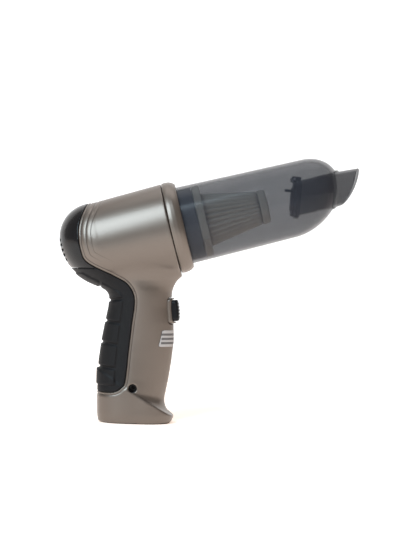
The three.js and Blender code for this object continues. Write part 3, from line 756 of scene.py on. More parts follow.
# %% The rear cap
PARTING = 121.5
VENT_RADIUS, VENT_SPINE = 14, 2.2


def rear_cap(points):
    whole = body(points)
    cap = overlap(without(whole, whole + SKIN), beyond_split(points) + GAP / 2, 0.8)
    cap = overlap(cap, PARTING + GAP / 2 - points[:, 2], 0.5)
    a, y, r = seen_from(BARREL, points).T
    for level in range(-9, 16, 4):
        half = (math.sqrt(VENT_RADIUS**2 - (level - 3) ** 2) - VENT_SPINE) / 2
        slot = block_in_plane(np.abs(y) - VENT_SPINE - half, r - level, half, 1, 0.9)
        cap = without(cap, np.maximum(slot, a + 45), 0.5)
    return cap


cap = skin("rear_cap_skin", rear_cap, (-66, -32, 121), (-30, 32, 175), 0.6, cap_black)

# %% [markdown]
# ## Rubber backstrap with finger pads
#
# The back of the grip is a black rubber strap. Raised pads follow the hand, with rounded notches
# between them, and a flat margin is left beside the silver. The pads stand out where the distance
# from the split line is more than the margin, and each notch is a line that lowers them again.

# %% The backstrap
NOTCHES = [
    (-29.6, 109.2, 250),
    (-22.1, 96.6, 188),
    (-24.5, 80.3, 172),
    (-27.4, 63.4, 172),
    (-29.2, 44.2, 176),
    (-30, 28.9, 180),
]
PAD_MARGIN, PAD_HEIGHT = 9.5, 1.0
PADS_UPRIGHT_BELOW, PADS_END = 45, 29.5


def eased(share):
    share = np.clip(share, 0, 1)
    return share * share * (3 - 2 * share)


def pad_height(points):
    x, y, z = points.T
    upright = np.stack([x, y, np.maximum(z, PADS_UPRIGHT_BELOW)], 1)
    height = PAD_HEIGHT * eased((-beyond_split(upright) - PAD_MARGIN) / 1.6 + 0.5)
    height = height * eased((PARTING - 4.2 - z) / 1.6 + 0.5) * eased((z - PADS_END) / 1.6 + 0.5)
    for notch_x, notch_z, out in NOTCHES:
        turn = math.radians(out)
        off = np.abs((z - notch_z) * math.cos(turn) - (x - notch_x) * math.sin(turn))
        ahead = (x - notch_x) * math.cos(turn) + (z - notch_z) * math.sin(turn)
        depth = np.where(ahead > -22, 1.0, 0.0) * (1 - eased((off - 0.3) / 1.5))
        height = height - depth * (height + 0.45 * (height > 0.3))
    return height


def backstrap(points):
    whole = body(points)
    strap = overlap(without(whole - pad_height(points), whole + SKIN), beyond_split(points) + GAP / 2, 0.8)
    return overlap(strap, points[:, 2] - PARTING + GAP / 2, 0.6)


strap = skin("backstrap_skin", backstrap, (-56, -29, 20), (0, 29, 122), 0.7, pad_rubber)

# %% [markdown]
# ## Trigger, bezel and charging socket
#
# The trigger is a rounded button with a few ridges for the finger, held in by a wider rim inside the
# grip. A thin silver bezel follows the grip's surface round it. The socket is a round cup with a
# contact pin in its middle. All three are small, so their grids are fine.

# %% Small parts in the grip


def trigger(points):
    x, y, z = points.T
    ridges = 0.28 * np.cos(2 * np.pi * z / 2.7) * eased((x - 4) / 1.2) * eased((6.2 - np.abs(z)) / 1.0)
    crown = 5.6 - 0.011 * z * z - 0.03 * y * y + ridges
    cap_part = overlap(block_in_plane(y, z, 6, 8.5, 3), np.maximum(-7 - x, x - crown), 1.6)
    rim = np.maximum(block_in_plane(y, z, 7.4, 9.9, 3), np.maximum(-8.4 - x, x + 6.8))
    return union(cap_part, rim, 0.3)


BEZEL_PROUD = 1.9


def bezel(points):
    x, y, z = seen_from(TRIGGER, points).T
    rim = np.maximum(block_in_plane(y, z, 7.7, 10.2, 3), -block_in_plane(y, z, 6.4, 8.9, 3))
    whole = body(points)
    return np.maximum(overlap(overlap(rim, whole - BEZEL_PROUD, 1.0), -(whole + WALL)), -6.4 - x)


def socket(points):
    x, y, z = points.T
    out = round_hole(points, SOCKET, 0)
    cup = overlap(out - 4.4, np.maximum(-16.1 - y, y + 9.6), 0.4)
    cup = without(cup, np.maximum(out - 3, y + 11.2), 0.5)
    return union(cup, overlap(out - 0.9, np.maximum(-13 - y, y + 10), 0.5))


button = skin("trigger_face", trigger, (-9, -8, -10), (6.4, 8, 10), 0.3, dark_plastic, TRIGGER)
rim = skin("trigger_rim", bezel, (19, -8.5, 77), (33, 8.5, 102), 0.35, silver)
jack = skin("charging_cup", socket, (-6, -16.5, 23.2), (3.6, -9.3, 32.8), 0.3, dark_plastic)

# %% [markdown]
# ## The clear dust cup
#
# The cup is one thin moulding: a tube that narrows a little towards a dome, and a dome that leans
# forward at the top. Both walls are the same rule with a different inset, so the wall is even. Four
# short lugs at its rear edge fit under the collar. The nozzle duct passes through the dome, so the
# duct's outline with a small clearance is taken out of it, and a thin flange on the duct covers the gap.

# %% The cup and the duct
LEAN, LEAN_FROM, DOME_FROM = 0.3, 90, 129.5
MOUTH_AT, MOUTH_LEAN, MOUTH_ROUND, MOUTH_BULGE = 173, 35.6, 47.5, 2.6
DUCT_END_AT, DUCT_END_LEAN = 127.3, 18.9
DUCT_PLACES = [114, 158, 186]
DUCT_MIDDLES, DUCT_HEIGHTS, DUCT_WIDTHS = [0, 0.2, -0.5], [13, 13.6, 12.5], [11.6, 12, 11.4]


def cup_solid(points, inset):
    a, y, r = points.T
    out = np.hypot(y, r)
    pull = LEAN * r / (DOME_FROM - LEAN_FROM)
    along = np.clip((a + pull * LEAN_FROM) / (1 + pull), LEAN_FROM, DOME_FROM)
    along = np.where(a - LEAN * r > DOME_FROM, a - LEAN * r, np.where(a < LEAN_FROM, a, along))
    tube = out - (np.interp(along, [29.3, DOME_FROM], [31.2, 29.7]) - inset)
    past = np.maximum(0, along - DOME_FROM) / (34.2 - inset)
    dome = (np.hypot(past, out / (29.7 - inset)) - 1) * 30
    return np.where(along > DOME_FROM, dome, tube)


def lugs(points, low, high, inner, outer, first, width):
    a, y, r = points.T
    turn = np.degrees(np.arctan2(r, y)) - first
    off = np.abs((turn + 45) % 90 - 45) - width / 2
    out = np.hypot(y, r)
    return np.maximum(tube_part(a, out, low, high, inner, outer), np.radians(off) * out)


def duct_solid(points, inset):
    a, y, r = points.T
    middle = np.interp(a, DUCT_PLACES, DUCT_MIDDLES)
    tall = np.interp(a, DUCT_PLACES, DUCT_HEIGHTS)
    wide = np.interp(a, DUCT_PLACES, DUCT_WIDTHS)
    return block_in_plane(y, r - middle, wide - inset, tall - inset, 6 - inset)


def cup(points):
    a = points[:, 0]
    wall = overlap(without(cup_solid(points, 0), cup_solid(points, 2)), 29.3 - a, 0.6)
    wall = union(wall, lugs(points, 29.3, 31.7, 30.2, 32.8, 0, 26), 0.3)
    return without(wall, np.maximum(duct_solid(points, -GAP), 120 - a), 0.4)


def beyond_mouth(points):
    a, _, r = points.T
    lean = math.radians(MOUTH_LEAN)
    ahead = (a - MOUTH_AT) * math.cos(lean) - r * math.sin(lean)
    along = (a - MOUTH_AT) * math.sin(lean) + r * math.cos(lean)
    return np.hypot(ahead + MOUTH_ROUND - MOUTH_BULGE, along) - MOUTH_ROUND


def duct_depth(points):
    there = seen_from(BARREL, points)
    return -np.maximum(duct_solid(there, 0), beyond_mouth(there))


def duct(points):
    a, y, r = points.T
    wall = without(duct_solid(points, 0), duct_solid(points, 1.8))
    collar_part = np.maximum(duct_solid(points, -1.3), np.abs(cup_solid(points, 0) - 1.0) - 0.8)
    wall = union(wall, np.maximum(collar_part, -duct_solid(points, 1.0)), 0.6)
    end = math.radians(DUCT_END_LEAN)
    inner = (DUCT_END_AT - a) * math.cos(end) + r * math.sin(end)
    return overlap(overlap(wall, beyond_mouth(points), 1.0), inner, 0.3)


clear_cup = skin("clear_cup", cup, (29, -33, -33), (171, 33, 33), 0.8, cup_smoke, BARREL)
nozzle = skin("nozzle_skin", duct, (122, -14, -15.5), (184, 14, 15.5), 0.6, duct_smoke, BARREL)
remember(clear_cup, "depth_in_wall", lambda points: -cup_solid(seen_from(BARREL, points), 0))
remember(nozzle, "depth_in_wall", duct_depth)

# %% [markdown]
# ## Turned parts
#
# The collar, the seal and the spigot's tube are round about the barrel's axis. The seal is a profile
# turned about it, and the collar and the tube are rules made into skins. A profile is a closed loop of
# points, and its corners are rounded first, because a moulded edge never meets the light as a perfect line.

# %% Profiles turned about an axis


def rounded(profile, radius=0.35, steps=4):
    """A closed profile with every corner cut by a small curve."""
    corners, out = np.array(profile, float), []
    for before, corner, after in zip(np.roll(corners, 1, 0), corners, np.roll(corners, -1, 0)):
        sides = [(end - corner) for end in (before, after)]
        lengths = [np.linalg.norm(side) for side in sides]
        start, end = (
            corner + side / length * min(radius, length * 0.45) for side, length in zip(sides, lengths)
        )
        for t in np.linspace(0, 1, steps):
            out.append((1 - t) ** 2 * start + 2 * t * (1 - t) * corner + t * t * end)
    return np.array(out)


def turned(name, profile, material, place=BARREL, round_count=128, radius=0.35):
    """A closed ring: the profile's points are (along, radius) in millimetres."""
    loop = rounded(profile, radius)
    angles = np.arange(round_count) * 2 * np.pi / round_count
    points = np.stack(
        [
            np.repeat(loop[None, :, 0], round_count, 0),
            loop[None, :, 1] * np.cos(angles)[:, None],
            loop[None, :, 1] * np.sin(angles)[:, None],
        ],
        -1,
    ).reshape(-1, 3)
    n = len(loop)
    i, j = np.meshgrid(np.arange(round_count), np.arange(n), indexing="ij")
    i2, j2 = (i + 1) % round_count, (j + 1) % n
    quads = np.stack([i * n + j, i * n + j2, i2 * n + j2, i2 * n + j], -1).reshape(-1, 4)
    area = np.sum(loop[:, 0] * np.roll(loop[:, 1], -1) - np.roll(loop[:, 0], -1) * loop[:, 1])
    if area > 0:
        quads = quads[:, ::-1]
    turn = np.array(place)
    made = piece_of(name, points @ turn[:3, :3].T + turn[:3, 3], quads, material, sharp=50)
    print(f"{name}: {len(quads)} quads")
    return made

COLLAR_BACK, COLLAR_FRONT = 25.9, 36.7


def collar(points):
    a, y, r = points.T
    out = np.hypot(y, r)
    stations = [COLLAR_BACK, 29, 32, 34.4, 36.1, COLLAR_FRONT]
    edge = np.interp(a, stations, [36.5, 36.8, 36.5, 35.5, 34.3, 33.7])
    ring_part = overlap(out - edge, np.maximum(COLLAR_BACK - a, a - COLLAR_FRONT), 0.9)
    bore = np.where(a < 27.6, out - 30.6, out - 33.2)
    ring_part = without(ring_part, bore)
    return union(ring_part, lugs(points, 32.2, 34.4, 31.75, 33.7, 45, 26), 0.3)


ring = skin("collar_ring", collar, (25, -37.5, -37.5), (37.5, 37.5, 37.5), 0.6, silver, BARREL)
SEAL_PROFILE = [(32.6, 27.7), (32.6, 28.9), (33.2, 29.0), (33.6, 28.5)]
SEAL_PROFILE += [(34.0, 29.0), (34.9, 28.9), (34.9, 27.7)]
seal = turned("spigot_gasket", SEAL_PROFILE, pad_rubber)

# %% [markdown]
# ## Pleated filter by rule
#
# Filter paper is folded into a cone so that a large area fits in the cup. The folds follow a rule,
# so a Geometry Nodes tree makes them: a flat grid is wrapped round the axis, and each point's
# distance from the axis swings between the crest and the root of a fold. The number of folds and
# both radii at each end are inputs, so one tree could make any such cone.

# %% The tree's own small helper


class Recipe:
    """A Geometry Nodes tree with named inputs, whose sums are written like a Bench's."""

    def __init__(self, name, sizes):
        self.tree = bpy.data.node_groups.new(name, "GeometryNodeTree")
        self.tree.interface.new_socket("Geometry", in_out="OUTPUT", socket_type="NodeSocketGeometry")
        self.sockets = {}
        for title, value in sizes.items():
            kind = "NodeSocketInt" if isinstance(value, int) else "NodeSocketFloat"
            made = self.tree.interface.new_socket(title, in_out="INPUT", socket_type=kind)
            made.default_value = value
            self.sockets[title] = made.identifier
        self.enter = self.tree.nodes.new("NodeGroupInput")
        self.leave = self.tree.nodes.new("NodeGroupOutput")

    fill = Bench.fill
    node = Bench.node

    def size(self, title):
        return Wire(self, self.enter.outputs[title])

    def maths(self, operation, *values):
        return self.node("ShaderNodeMath", {"operation": operation}, dict(enumerate(values)))

    def finish(self, geometry, material, smooth=True):
        shaded = self.node("GeometryNodeSetShadeSmooth", {}, {"Geometry": geometry, "Shade Smooth": smooth})
        real = self.node("GeometryNodeRealizeInstances", {}, {"Geometry": shaded})
        painted = self.node("GeometryNodeSetMaterial", {}, {"Geometry": real})
        painted.socket.node.inputs["Material"].default_value = material
        self.tree.links.new(painted.socket, self.leave.inputs[0])


def grown(name, recipe, sizes, place=LEVEL, wall_mm=0.0):
    """Runs a recipe, and returns its result as a plain mesh in the model's own frame."""
    host = bpy.data.objects.new(name + "_host", bpy.data.meshes.new(name + "_host"))
    bpy.context.scene.collection.objects.link(host)
    rule = host.modifiers.new("recipe", "NODES")
    rule.node_group = recipe.tree
    for title, value in sizes.items():
        rule[recipe.sockets[title]] = value
    if wall_mm:
        wall = host.modifiers.new("wall", "SOLIDIFY")
        wall.thickness, wall.offset, wall.use_even_offset = wall_mm / 1000, 0, True
    ready = host.evaluated_get(bpy.context.evaluated_depsgraph_get())
    mesh = bpy.data.meshes.new_from_object(ready)
    bpy.data.objects.remove(host)
    to_metres = place.copy()
    to_metres.translation = place.translation / 1000
    mesh.transform(to_metres)
    mesh.name = name
    made = bpy.data.objects.new(name, mesh)
    bpy.context.scene.collection.objects.link(made)
    print(f"{name}: {len(mesh.polygons)} faces")
    return made


# %% Folds
FOLD_SIZES = {
    "Folds": 28,
    "Rear": 0.0547,
    "Front": 0.0975,
    "Rear crest": 0.0211,
    "Rear root": 0.0166,
    "Front crest": 0.0132,
    "Front root": 0.0108,
}
folds = Recipe("folded_cone", FOLD_SIZES)
round_steps = folds.maths("ADD", folds.maths("MULTIPLY", folds.size("Folds"), 8), 1)
grid_sizes = {"Size X": 1.0, "Size Y": 1.0, "Vertices X": round_steps, "Vertices Y": 14}
flat_sheet = folds.node("GeometryNodeMeshGrid", {}, grid_sizes)
flat = folds.node("GeometryNodeInputPosition", {}, {})
share_x = folds.node("ShaderNodeSeparateXYZ", {}, {0: flat}, 0) + 0.5
share_y = folds.node("ShaderNodeSeparateXYZ", {}, {0: flat}, 1) + 0.5
fold = folds.maths("PINGPONG", share_x * folds.size("Folds") * 2, 1.0)
fold = folds.maths("SMOOTH_MIN", fold * 1.12 - 0.06, 0.96, 0.2)
crest = folds.size("Rear crest") + (folds.size("Front crest") - folds.size("Rear crest")) * share_y
root = folds.size("Rear root") + (folds.size("Front root") - folds.size("Rear root")) * share_y
reach = root + (crest - root) * fold
angle = share_x * (2 * math.pi)
there = folds.node(
    "ShaderNodeCombineXYZ",
    {},
    {
        0: folds.size("Rear") + (folds.size("Front") - folds.size("Rear")) * share_y,
        1: reach * folds.maths("COSINE", angle),
        2: reach * folds.maths("SINE", angle),
    },
)
wrapped = folds.node("GeometryNodeSetPosition", {}, {"Geometry": flat_sheet, "Position": there})
closed = folds.node("GeometryNodeMergeByDistance", {}, {"Geometry": wrapped, "Distance": 0.00001})
folds.finish(closed, paper)
pleats = grown("pleated_paper", folds, FOLD_SIZES, BARREL, wall_mm=0.5)

# %% [markdown]
# ## Filter frame and its bayonet ribs
#
# The paper is held by a cream frame: a flange at the rear, four ribs inside the cone and a thick cap
# at its tip. L-shaped ribs round the flange guide it as it is twisted onto the spigot. The frame is
# one moulding, so its parts are one rule.

# %% The filter frame


def bar_at(points, angle, half_width):
    """Distance beyond a radial bar's sides, for a bar that points at `angle` degrees."""
    turn = math.radians(angle)
    return np.abs(points[:, 1] * math.cos(turn) - points[:, 2] * math.sin(turn)) - half_width


def filter_frame(points):
    a, y, r = points.T
    out = np.hypot(y, r)
    plug = tube_part(a, out, 40, 54.4, 24.2, 26.1)
    flange = overlap(tube_part(a, out, 48.4, 54.4, 24.2, 28.1), out - 28.1, 0.8)
    front = tube_part(a, out, 52.8, 54.4, 21.6, 27.5)
    tip = overlap(np.maximum(97.8 + GAP - a, a - 104.8), out - 13.6, 2.2)
    whole = union(union(union(plug, flange, 0.5), front), without(tip, np.maximum(out - 5.6, a - 100.8)))
    for angle in (0, 90):
        rib = np.maximum(bar_at(points, angle, 1.2), np.maximum(52.8 - a, a - 98.8))
        whole = union(whole, np.maximum(rib, np.maximum(5.6 - out, out - 9.2)))
    hub = np.maximum(np.maximum(52.8 - a, a - 54.4), np.maximum(5.6 - out, out - 21.8))
    return union(union(whole, hub), bayonet(points), 0.3)


def bayonet(points):
    """L-shaped ribs that stand on the flange, every 60 degrees."""
    a, y, r = points.T
    turn = (np.degrees(np.arctan2(r, -y)) - 27 + 30) % 60 - 30
    across = np.radians(turn) * 28
    long_arm = block_in_plane(a - 51.0, across, 2.4, 0.7, 0.3)
    foot_arm = block_in_plane(a - 49.3, across + 2.4, 0.7, 3.0, 0.3)
    return np.maximum(union(long_arm, foot_arm), np.maximum(27.6 - np.hypot(y, r), np.hypot(y, r) - 28.65))


cage = skin("filter_frame", filter_frame, (39, -29, -29), (106, 29, 29), 0.6, cream_plastic, BARREL)

# %% [markdown]
# ## Foot plate and rating label
#
# The foot plate closes the grip's lower end, and is the face that the vacuum stands on, so it stays
# flat. The label is a thin sheet that wraps the front of the grip a little proud of the paint.

# %% Foot plate and label


def foot_plate(points):
    z = points[:, 2]
    low = np.array([[0, -27.4, 28.2, 19], [10, -27.4, 28.2, 19]])
    plate = overlap(oval(points, low, 2.6, 2.6), np.abs(z - 0.3) - 0.3, 0.2)
    plug = overlap(oval(points, FOOT, 2.6, 2.6) + WALL + GAP, np.maximum(0.4 - z, z - 2.6), 0.3)
    return union(plate, plug)


def front_of_grip(y, z, out, steps=30):
    """Where the surface that stands `out` from the body is, at the front of the grip, by halving."""
    near, far = np.full(y.shape, 5.0), np.full(y.shape, 40.0)
    for _ in range(steps):
        middle = (near + far) / 2
        inside = body(np.stack([middle, y, z], 1)) < out
        near, far = np.where(inside, middle, near), np.where(inside, far, middle)
    return np.stack([near, y, z], 1)


def rating_label(across=48, up=48, corner=1.2):
    """A closed sheet with rounded corners that lies on the front of the grip."""
    v = np.linspace(0, 1, up)
    z = LABEL_LOW + (LABEL_HIGH - LABEL_LOW) * v
    from_end = np.minimum(z - LABEL_LOW, LABEL_HIGH - z)
    narrow = corner - np.sqrt(np.maximum(corner**2 - np.maximum(corner - from_end, 0) ** 2, 0))
    left = np.interp(v, [0, 1], LABEL_LEFT) + narrow
    right = LABEL_RIGHT - narrow
    y = left[:, None] + (right - left)[:, None] * np.linspace(0, 1, across)
    z = np.repeat(z[:, None], across, 1)
    outer, inner = (front_of_grip(y.ravel(), z.ravel(), out) for out in (0.55, 0.32))
    i, j = (g.ravel() for g in np.meshgrid(np.arange(up - 1), np.arange(across - 1), indexing="ij"))
    corner = i * across + j
    sheet = np.stack([corner, corner + 1, corner + across + 1, corner + across], 1)
    n = up * across
    low_edge, high_edge = np.arange(across), np.arange(across) + n - across
    left_edge, right_edge = np.arange(up) * across, np.arange(up) * across + across - 1
    loop = np.concatenate([low_edge[:-1], right_edge[:-1], high_edge[:0:-1], left_edge[:0:-1]])
    after = np.roll(loop, -1)
    sides = np.stack([after, loop, loop + n, after + n], 1)
    return np.vstack([outer, inner]), np.vstack([sheet, sheet[:, ::-1] + n, sides])


sole = skin("foot_sole", foot_plate, (-28, -19.5, 0), (28.8, 19.5, 3), 0.5, dark_plastic)
sticker = piece_of("rating_sticker", *rating_label(), label)

# %% [markdown]
# ## Five screws from one recipe
#
# The halves are held by five equal screws. One recipe builds a screw from a head and a shank, and
# sets a copy at each screw place, and the copies are made real because an export has no instances.
# The head's cross slot is left as a small recess of its own.

# %% Screws
SCREW_SIZES = {
    "Head radius": 0.0026,
    "Head height": 0.0018,
    "Shank radius": 0.00125,
    "Shank length": 0.0138,
}
SCREW_SEAT = 0.0073
screw = Recipe("cross_screw", SCREW_SIZES)


def solid_disc(recipe, radius, depth, start, sides=28):
    round_sizes = {"Vertices": sides, "Side Segments": 1, "Radius": radius, "Depth": depth}
    disc = recipe.node("GeometryNodeMeshCylinder", {}, round_sizes)
    middle = recipe.node("ShaderNodeCombineXYZ", {}, {2: depth / 2 + start})
    return recipe.node("GeometryNodeSetPosition", {}, {"Geometry": disc, "Offset": middle})


head = solid_disc(screw, screw.size("Head radius"), screw.size("Head height"), 0.0)
for spin in (0, math.pi / 2):
    slot_size = screw.node("ShaderNodeCombineXYZ", {}, {0: 0.0034, 1: 0.0006, 2: 0.0016})
    slot = screw.node("GeometryNodeMeshCube", {}, {"Size": slot_size})
    turned_slot = screw.node(
        "GeometryNodeTransform",
        {},
        {"Geometry": slot, "Translation": (0, 0, 0.0018), "Rotation": (0, 0, spin)},
    )
    meshes = {"Mesh 1": head, "Mesh 2": turned_slot}
    head = screw.node("GeometryNodeMeshBoolean", {"operation": "DIFFERENCE"}, meshes)
shank_length = screw.size("Shank length")
shank = solid_disc(screw, screw.size("Shank radius"), shank_length, shank_length * -1, 16)
pair = screw.node("GeometryNodeJoinGeometry", {}, {"Geometry": head})
screw.tree.links.new(shank.socket, pair.socket.node.inputs["Geometry"])
spot_line = screw.node("GeometryNodeMeshLine", {}, {"Count": len(SCREWS)})
place_number = screw.node("GeometryNodeInputIndex", {}, {})
across, up = 0.0, 0.0
for number, (x, z) in enumerate(SCREWS):
    this = screw.maths("COMPARE", place_number, number, 0.1)
    across, up = this * (x / 1000) + across, this * (z / 1000) + up
spot = screw.node("ShaderNodeCombineXYZ", {}, {0: across, 1: SCREW_SEAT, 2: up})
placed = screw.node("GeometryNodeSetPosition", {}, {"Geometry": spot_line, "Position": spot})
copies = screw.node(
    "GeometryNodeInstanceOnPoints",
    {},
    {"Points": placed, "Instance": pair, "Rotation": (-math.pi / 2, 0, 0)},
)
screw.finish(copies, bright_steel, smooth=False)
screws = grown("housing_screws", screw, SCREW_SIZES)

# %% [markdown]
# ## Fan wheel by rule
#
# The fan throws air outwards, so its blades curve backwards from the hub to the rim. One blade is a
# bent strip, and the recipe repeats it round the axis. The back plate and the hub are a turned profile of
# their own.

# %% The fan wheel
FAN_SIZES = {"Blades": 9, "Rim": 0.0252, "Hub": 0.005}
fan = Recipe("fan_wheel", FAN_SIZES)
strip_sizes = {"Size": (1.0, 0.0012, 0.0084), "Vertices X": 16, "Vertices Y": 2, "Vertices Z": 2}
strip = fan.node("GeometryNodeMeshCube", {}, strip_sizes)
here = fan.node("GeometryNodeInputPosition", {}, {})
share = fan.node("ShaderNodeSeparateXYZ", {}, {0: here}, 0) + 0.5
side = fan.node("ShaderNodeSeparateXYZ", {}, {0: here}, 1)
high = fan.node("ShaderNodeSeparateXYZ", {}, {0: here}, 2)
radius = (fan.size("Rim") - fan.size("Hub")) * share + (fan.size("Hub") * 0.9)
sweep = share * share * -0.9 + side / radius
bent = fan.node(
    "ShaderNodeCombineXYZ",
    {},
    {0: high + 0.0115, 1: radius * fan.maths("COSINE", sweep), 2: radius * fan.maths("SINE", sweep)},
)
blade = fan.node("GeometryNodeSetPosition", {}, {"Geometry": strip, "Position": bent})
ring_sizes = {"Count": fan.size("Blades"), "Offset": (0, 0, 0)}
ring_spots = fan.node("GeometryNodeMeshLine", {}, ring_sizes)
number = fan.node("GeometryNodeInputIndex", {}, {})
turn = fan.node("ShaderNodeCombineXYZ", {}, {0: number * (2 * math.pi) / fan.size("Blades")})
blades = fan.node(
    "GeometryNodeInstanceOnPoints",
    {},
    {"Points": ring_spots, "Instance": blade, "Rotation": turn},
)
fan.finish(blades, cream_plastic)
fan_blades = grown("fan_blades", fan, FAN_SIZES, BARREL)
fan_disc = turned(
    "fan_disc",
    [(6, 1.9), (6, 26), (7.4, 26), (7.4, 8), (10, 5.4), (17, 5), (17, 1.9)],
    cream_plastic,
)

# %% [markdown]
# ## Turned parts inside
#
# The spigot, the battery cells and the motor's can are round parts too. Here the spigot is a rule made
# into a skin and each cell is a turned profile, and the motor's can comes from the frame as it is. They
# are hidden when the vacuum is whole, and show when the cup is off or the halves are apart.

# %% Spigot and cells

WEB_BACK, WEB_FRONT = 36, 37.8


def spigot(points):
    a, y, r = points.T
    out = np.hypot(y, r)
    in_web = np.maximum(WEB_BACK - a, a - WEB_FRONT)
    tube = overlap(out - 28.4, np.maximum(20 - a, a - 48), 0.5)
    tube = without(tube, out - 26.4)
    tube = without(tube, tube_part(a, out, 32.2, 35.3, 27.3, 30), 0.3)
    web = np.maximum(in_web, np.maximum(15 - out, out - 27.4))
    hub = np.maximum(in_web, out - 4)
    whole = union(union(tube, web, 0.6), hub)
    for angle in (30, 90, 150):
        spoke = np.maximum(bar_at(points, angle, 1.0), np.maximum(in_web, out - 16))
        whole = union(whole, spoke, 0.5)
    return whole


throat = skin("spigot_tube", spigot, (19.5, -29, -29), (48.5, 29, 29), 0.6, grey_plastic, BARREL)

CELLS = leaning_frame(-1.2, 45, -2)
UPRIGHT = Matrix.Rotation(math.radians(-90), 4, "Y")
CELL_PROFILE = [(-32, 0.02), (-32, 8.6), (-31.4, 9.1), (29.6, 9.1), (30.2, 8.7), (30.8, 9.1), (32, 9.1)]
CELL_PROFILE += [(32, 7.2), (31.4, 6.6), (31.4, 3.4), (33.2, 3), (33.2, 0.02)]


def battery_cell(name, offset):
    place = CELLS @ Matrix.Translation((offset, 0, 0)) @ UPRIGHT
    return turned(name, CELL_PROFILE, cell_wrap, place, 64)


rear_cell = battery_cell("rear_cell", -9.4)
front_cell = battery_cell("front_cell", 9.4)

# %% [markdown]
# ## Finishes on the frame's own pieces
#
# Many inner pieces already have the right shape, so they stay as the frame made them and only get a
# finish. Each gets the finish of its real material, never one flat colour.

# %% Dress the carried-over pieces
CARRIED = {
    "flap_seat": dark_plastic,
    "inlet_flap": pad_rubber,
    "flap_pin": bright_steel,
    "fan_housing": dark_plastic,
    "impeller_nut": copper,
    "motor_can": bright_steel,
    "motor_end_bell": dark_plastic,
    "front_bearing": copper,
    "rear_bearing": copper,
    "upper_magnet": magnet_grey,
    "lower_magnet": magnet_grey,
    "armature": bright_steel,
    "commutator": copper,
    "motor_shaft": bright_steel,
    "front_motor_mount": pad_rubber,
    "rear_motor_mount": pad_rubber,
    "exhaust_foam": foam_grey,
    "battery_strip": bright_steel,
    "control_board": board_green,
    "micro_switch": dark_plastic,
}
for name, material in CARRIED.items():
    for place_number in range(len(nodes[name].material_slots)):
        nodes[name].material_slots[place_number].link = "OBJECT"
        nodes[name].material_slots[place_number].material = material
print("dressed", len(CARRIED), "carried-over pieces")

# %% [markdown]
# ## What moves with what
#
# Every piece rides on one body of the frame and stands for the plain nodes it replaces. The table also
# lists the name of the material slot each piece is made of. One table says all three.

# %% Ride, replace, name the material
PIECES = [
    (right, "housing", "silver_paint", ["right_housing"]),
    (left, "housing", "silver_paint", ["left_housing"]),
    (cap, "housing", "black_gloss", ["rear_cap"]),
    (strap, "housing", "black_rubber", ["grip_backstrap"]),
    (sole, "housing", "black_plastic", ["foot_plate"]),
    (sticker, "housing", "label_paper", ["rating_label"]),
    (rim, "housing", "silver_paint", ["trigger_bezel"]),
    (jack, "housing", "black_plastic", ["charge_socket"]),
    (screws, "housing", "steel", [f"housing_screw_{i}" for i in range(1, 6)]),
    (throat, "housing", "grey_plastic", ["spigot"]),
    (seal, "housing", "black_rubber", ["spigot_seal"]),
    (rear_cell, "housing", "cell_wrap", ["rear_battery_cell"]),
    (front_cell, "housing", "cell_wrap", ["front_battery_cell"]),
    (button, "trigger", "black_plastic", ["trigger_button"]),
    (ring, "collar", "silver_paint", ["lock_collar"]),
    (clear_cup, "cup", "smoke_clear", ["dust_cup"]),
    (nozzle, "cup", "smoke_clear", ["nozzle_duct"]),
    (cage, "filter", "white_plastic", ["filter_cage"]),
    (pleats, "filter", "filter_paper", ["filter_pleats"]),
    (fan_disc, "rotor", "white_plastic", ["impeller"]),
    (fan_blades, "rotor", "white_plastic", []),
]
for piece, rides_on, made_of, stands_for in PIECES:
    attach(piece, rides_on)
    if stands_for:
        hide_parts(*stands_for)
print("pieces:", len(PIECES), "replacing", sum(len(row[3]) for row in PIECES), "CAD nodes")
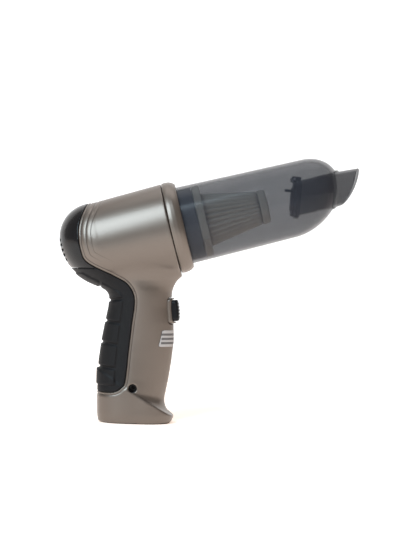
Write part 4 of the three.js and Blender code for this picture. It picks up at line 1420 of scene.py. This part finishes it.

# %% [markdown]
# ## Studio
#
# The vacuum stands on a plain pale floor that curves up behind it, under two large soft lights. The
# floor glows as well, unevenly, and that glow is painted light: it lights the vacuum from below and
# shows in its reflections. A large light gives a long soft highlight, which shows a satin surface better
# than a small one does. The camera looks level at the right side, from a metre away, with a long lens.

# %% Floor, lights and camera


def backdrop():
    bench = Bench("studio_paper")
    tone = bench.noise(3.0)
    white = bench.blend(tone, (0.86, 0.86, 0.86), (0.9, 0.9, 0.9))
    depth = bench.node("ShaderNodeSeparateXYZ", {}, {0: bench.place}, 1)
    lit = bench.node("ShaderNodeMapRange", {}, {"Value": depth, "From Min": -0.9, "From Max": -0.5})
    far = bench.node("ShaderNodeMapRange", {}, {"Value": depth, "From Min": 0.5, "From Max": 1.0})
    # The floor's glow is painted light: almost none in front of the camera, warm round the vacuum and white
    # on the curve behind it. It lights the vacuum from below and gives the silver dark and warm
    # reflections.
    near_glow = bench.blend(lit, (0.05, 0.045, 0.04), (1, 0.78, 0.63))
    glow = bench.blend(far, near_glow, (1, 1, 1))
    bench.fill(
        bench.shader,
        {"Base Color": white, "Roughness": 0.9, "Emission Color": glow, "Emission Strength": 0.62},
    )
    turns = np.linspace(0, math.pi / 2, 24)
    rows = [(-2500, 0)] + [(1200 + 900 * math.sin(t), 900 - 900 * math.cos(t)) for t in turns]
    rows.append((2100, 3500))
    points = [(x, y, z) for y, z in rows for x in (-4000, 4000)]
    faces = [[2 * i, 2 * i + 1, 2 * i + 3, 2 * i + 2] for i in range(len(rows) - 1)]
    return piece_of("studio_floor", points, faces, bench.material)


backdrop()


def soft_light(name, place, aim, size, watts, tint):
    lamp = bpy.data.lights.new(name, "AREA")
    lamp.shape, lamp.size, lamp.size_y, lamp.energy, lamp.color = "RECTANGLE", *size, watts, tint
    made = bpy.data.objects.new(name, lamp)
    made.location = place
    made.rotation_euler = (Vector(aim) - Vector(place)).to_track_quat("-Z", "Y").to_euler()
    bpy.context.scene.collection.objects.link(made)


soft_light("key", (-0.6, -1.15, 1.08), (0.03, 0, 0.12), (0.7, 1.2), 24, (0.7, 0.88, 1))
soft_light("top", (0.1, 0.3, 1.7), (0.05, 0, 0.1), (1.4, 0.9), 6, (0.95, 0.97, 1))
world = bpy.data.worlds.new("studio_air")
bpy.context.scene.world = world
world.use_nodes = True
world.node_tree.nodes["Background"].inputs[0].default_value = (1, 0.9, 0.82, 1)
world.node_tree.nodes["Background"].inputs[1].default_value = 0.32
bpy.context.scene.view_settings.view_transform = "Standard"

AIM, AWAY, LENS, ROLL = (0.057, 0, 0.1149), 1.0, 80.4, 1.7
eye = bpy.data.cameras.new("level_side_view")
eye.lens, eye.sensor_width = LENS, 36
eye.clip_start, eye.clip_end = 0.01, 50
camera = bpy.data.objects.new("level_side_view", eye)
camera.location = (AIM[0], AIM[1] - AWAY, AIM[2])
camera.rotation_euler = (math.radians(90), math.radians(-ROLL), 0)
bpy.context.scene.collection.objects.link(camera)
bpy.context.scene.camera = camera
print("camera", AWAY, "m away with a", LENS, "mm lens")

# %% [markdown]
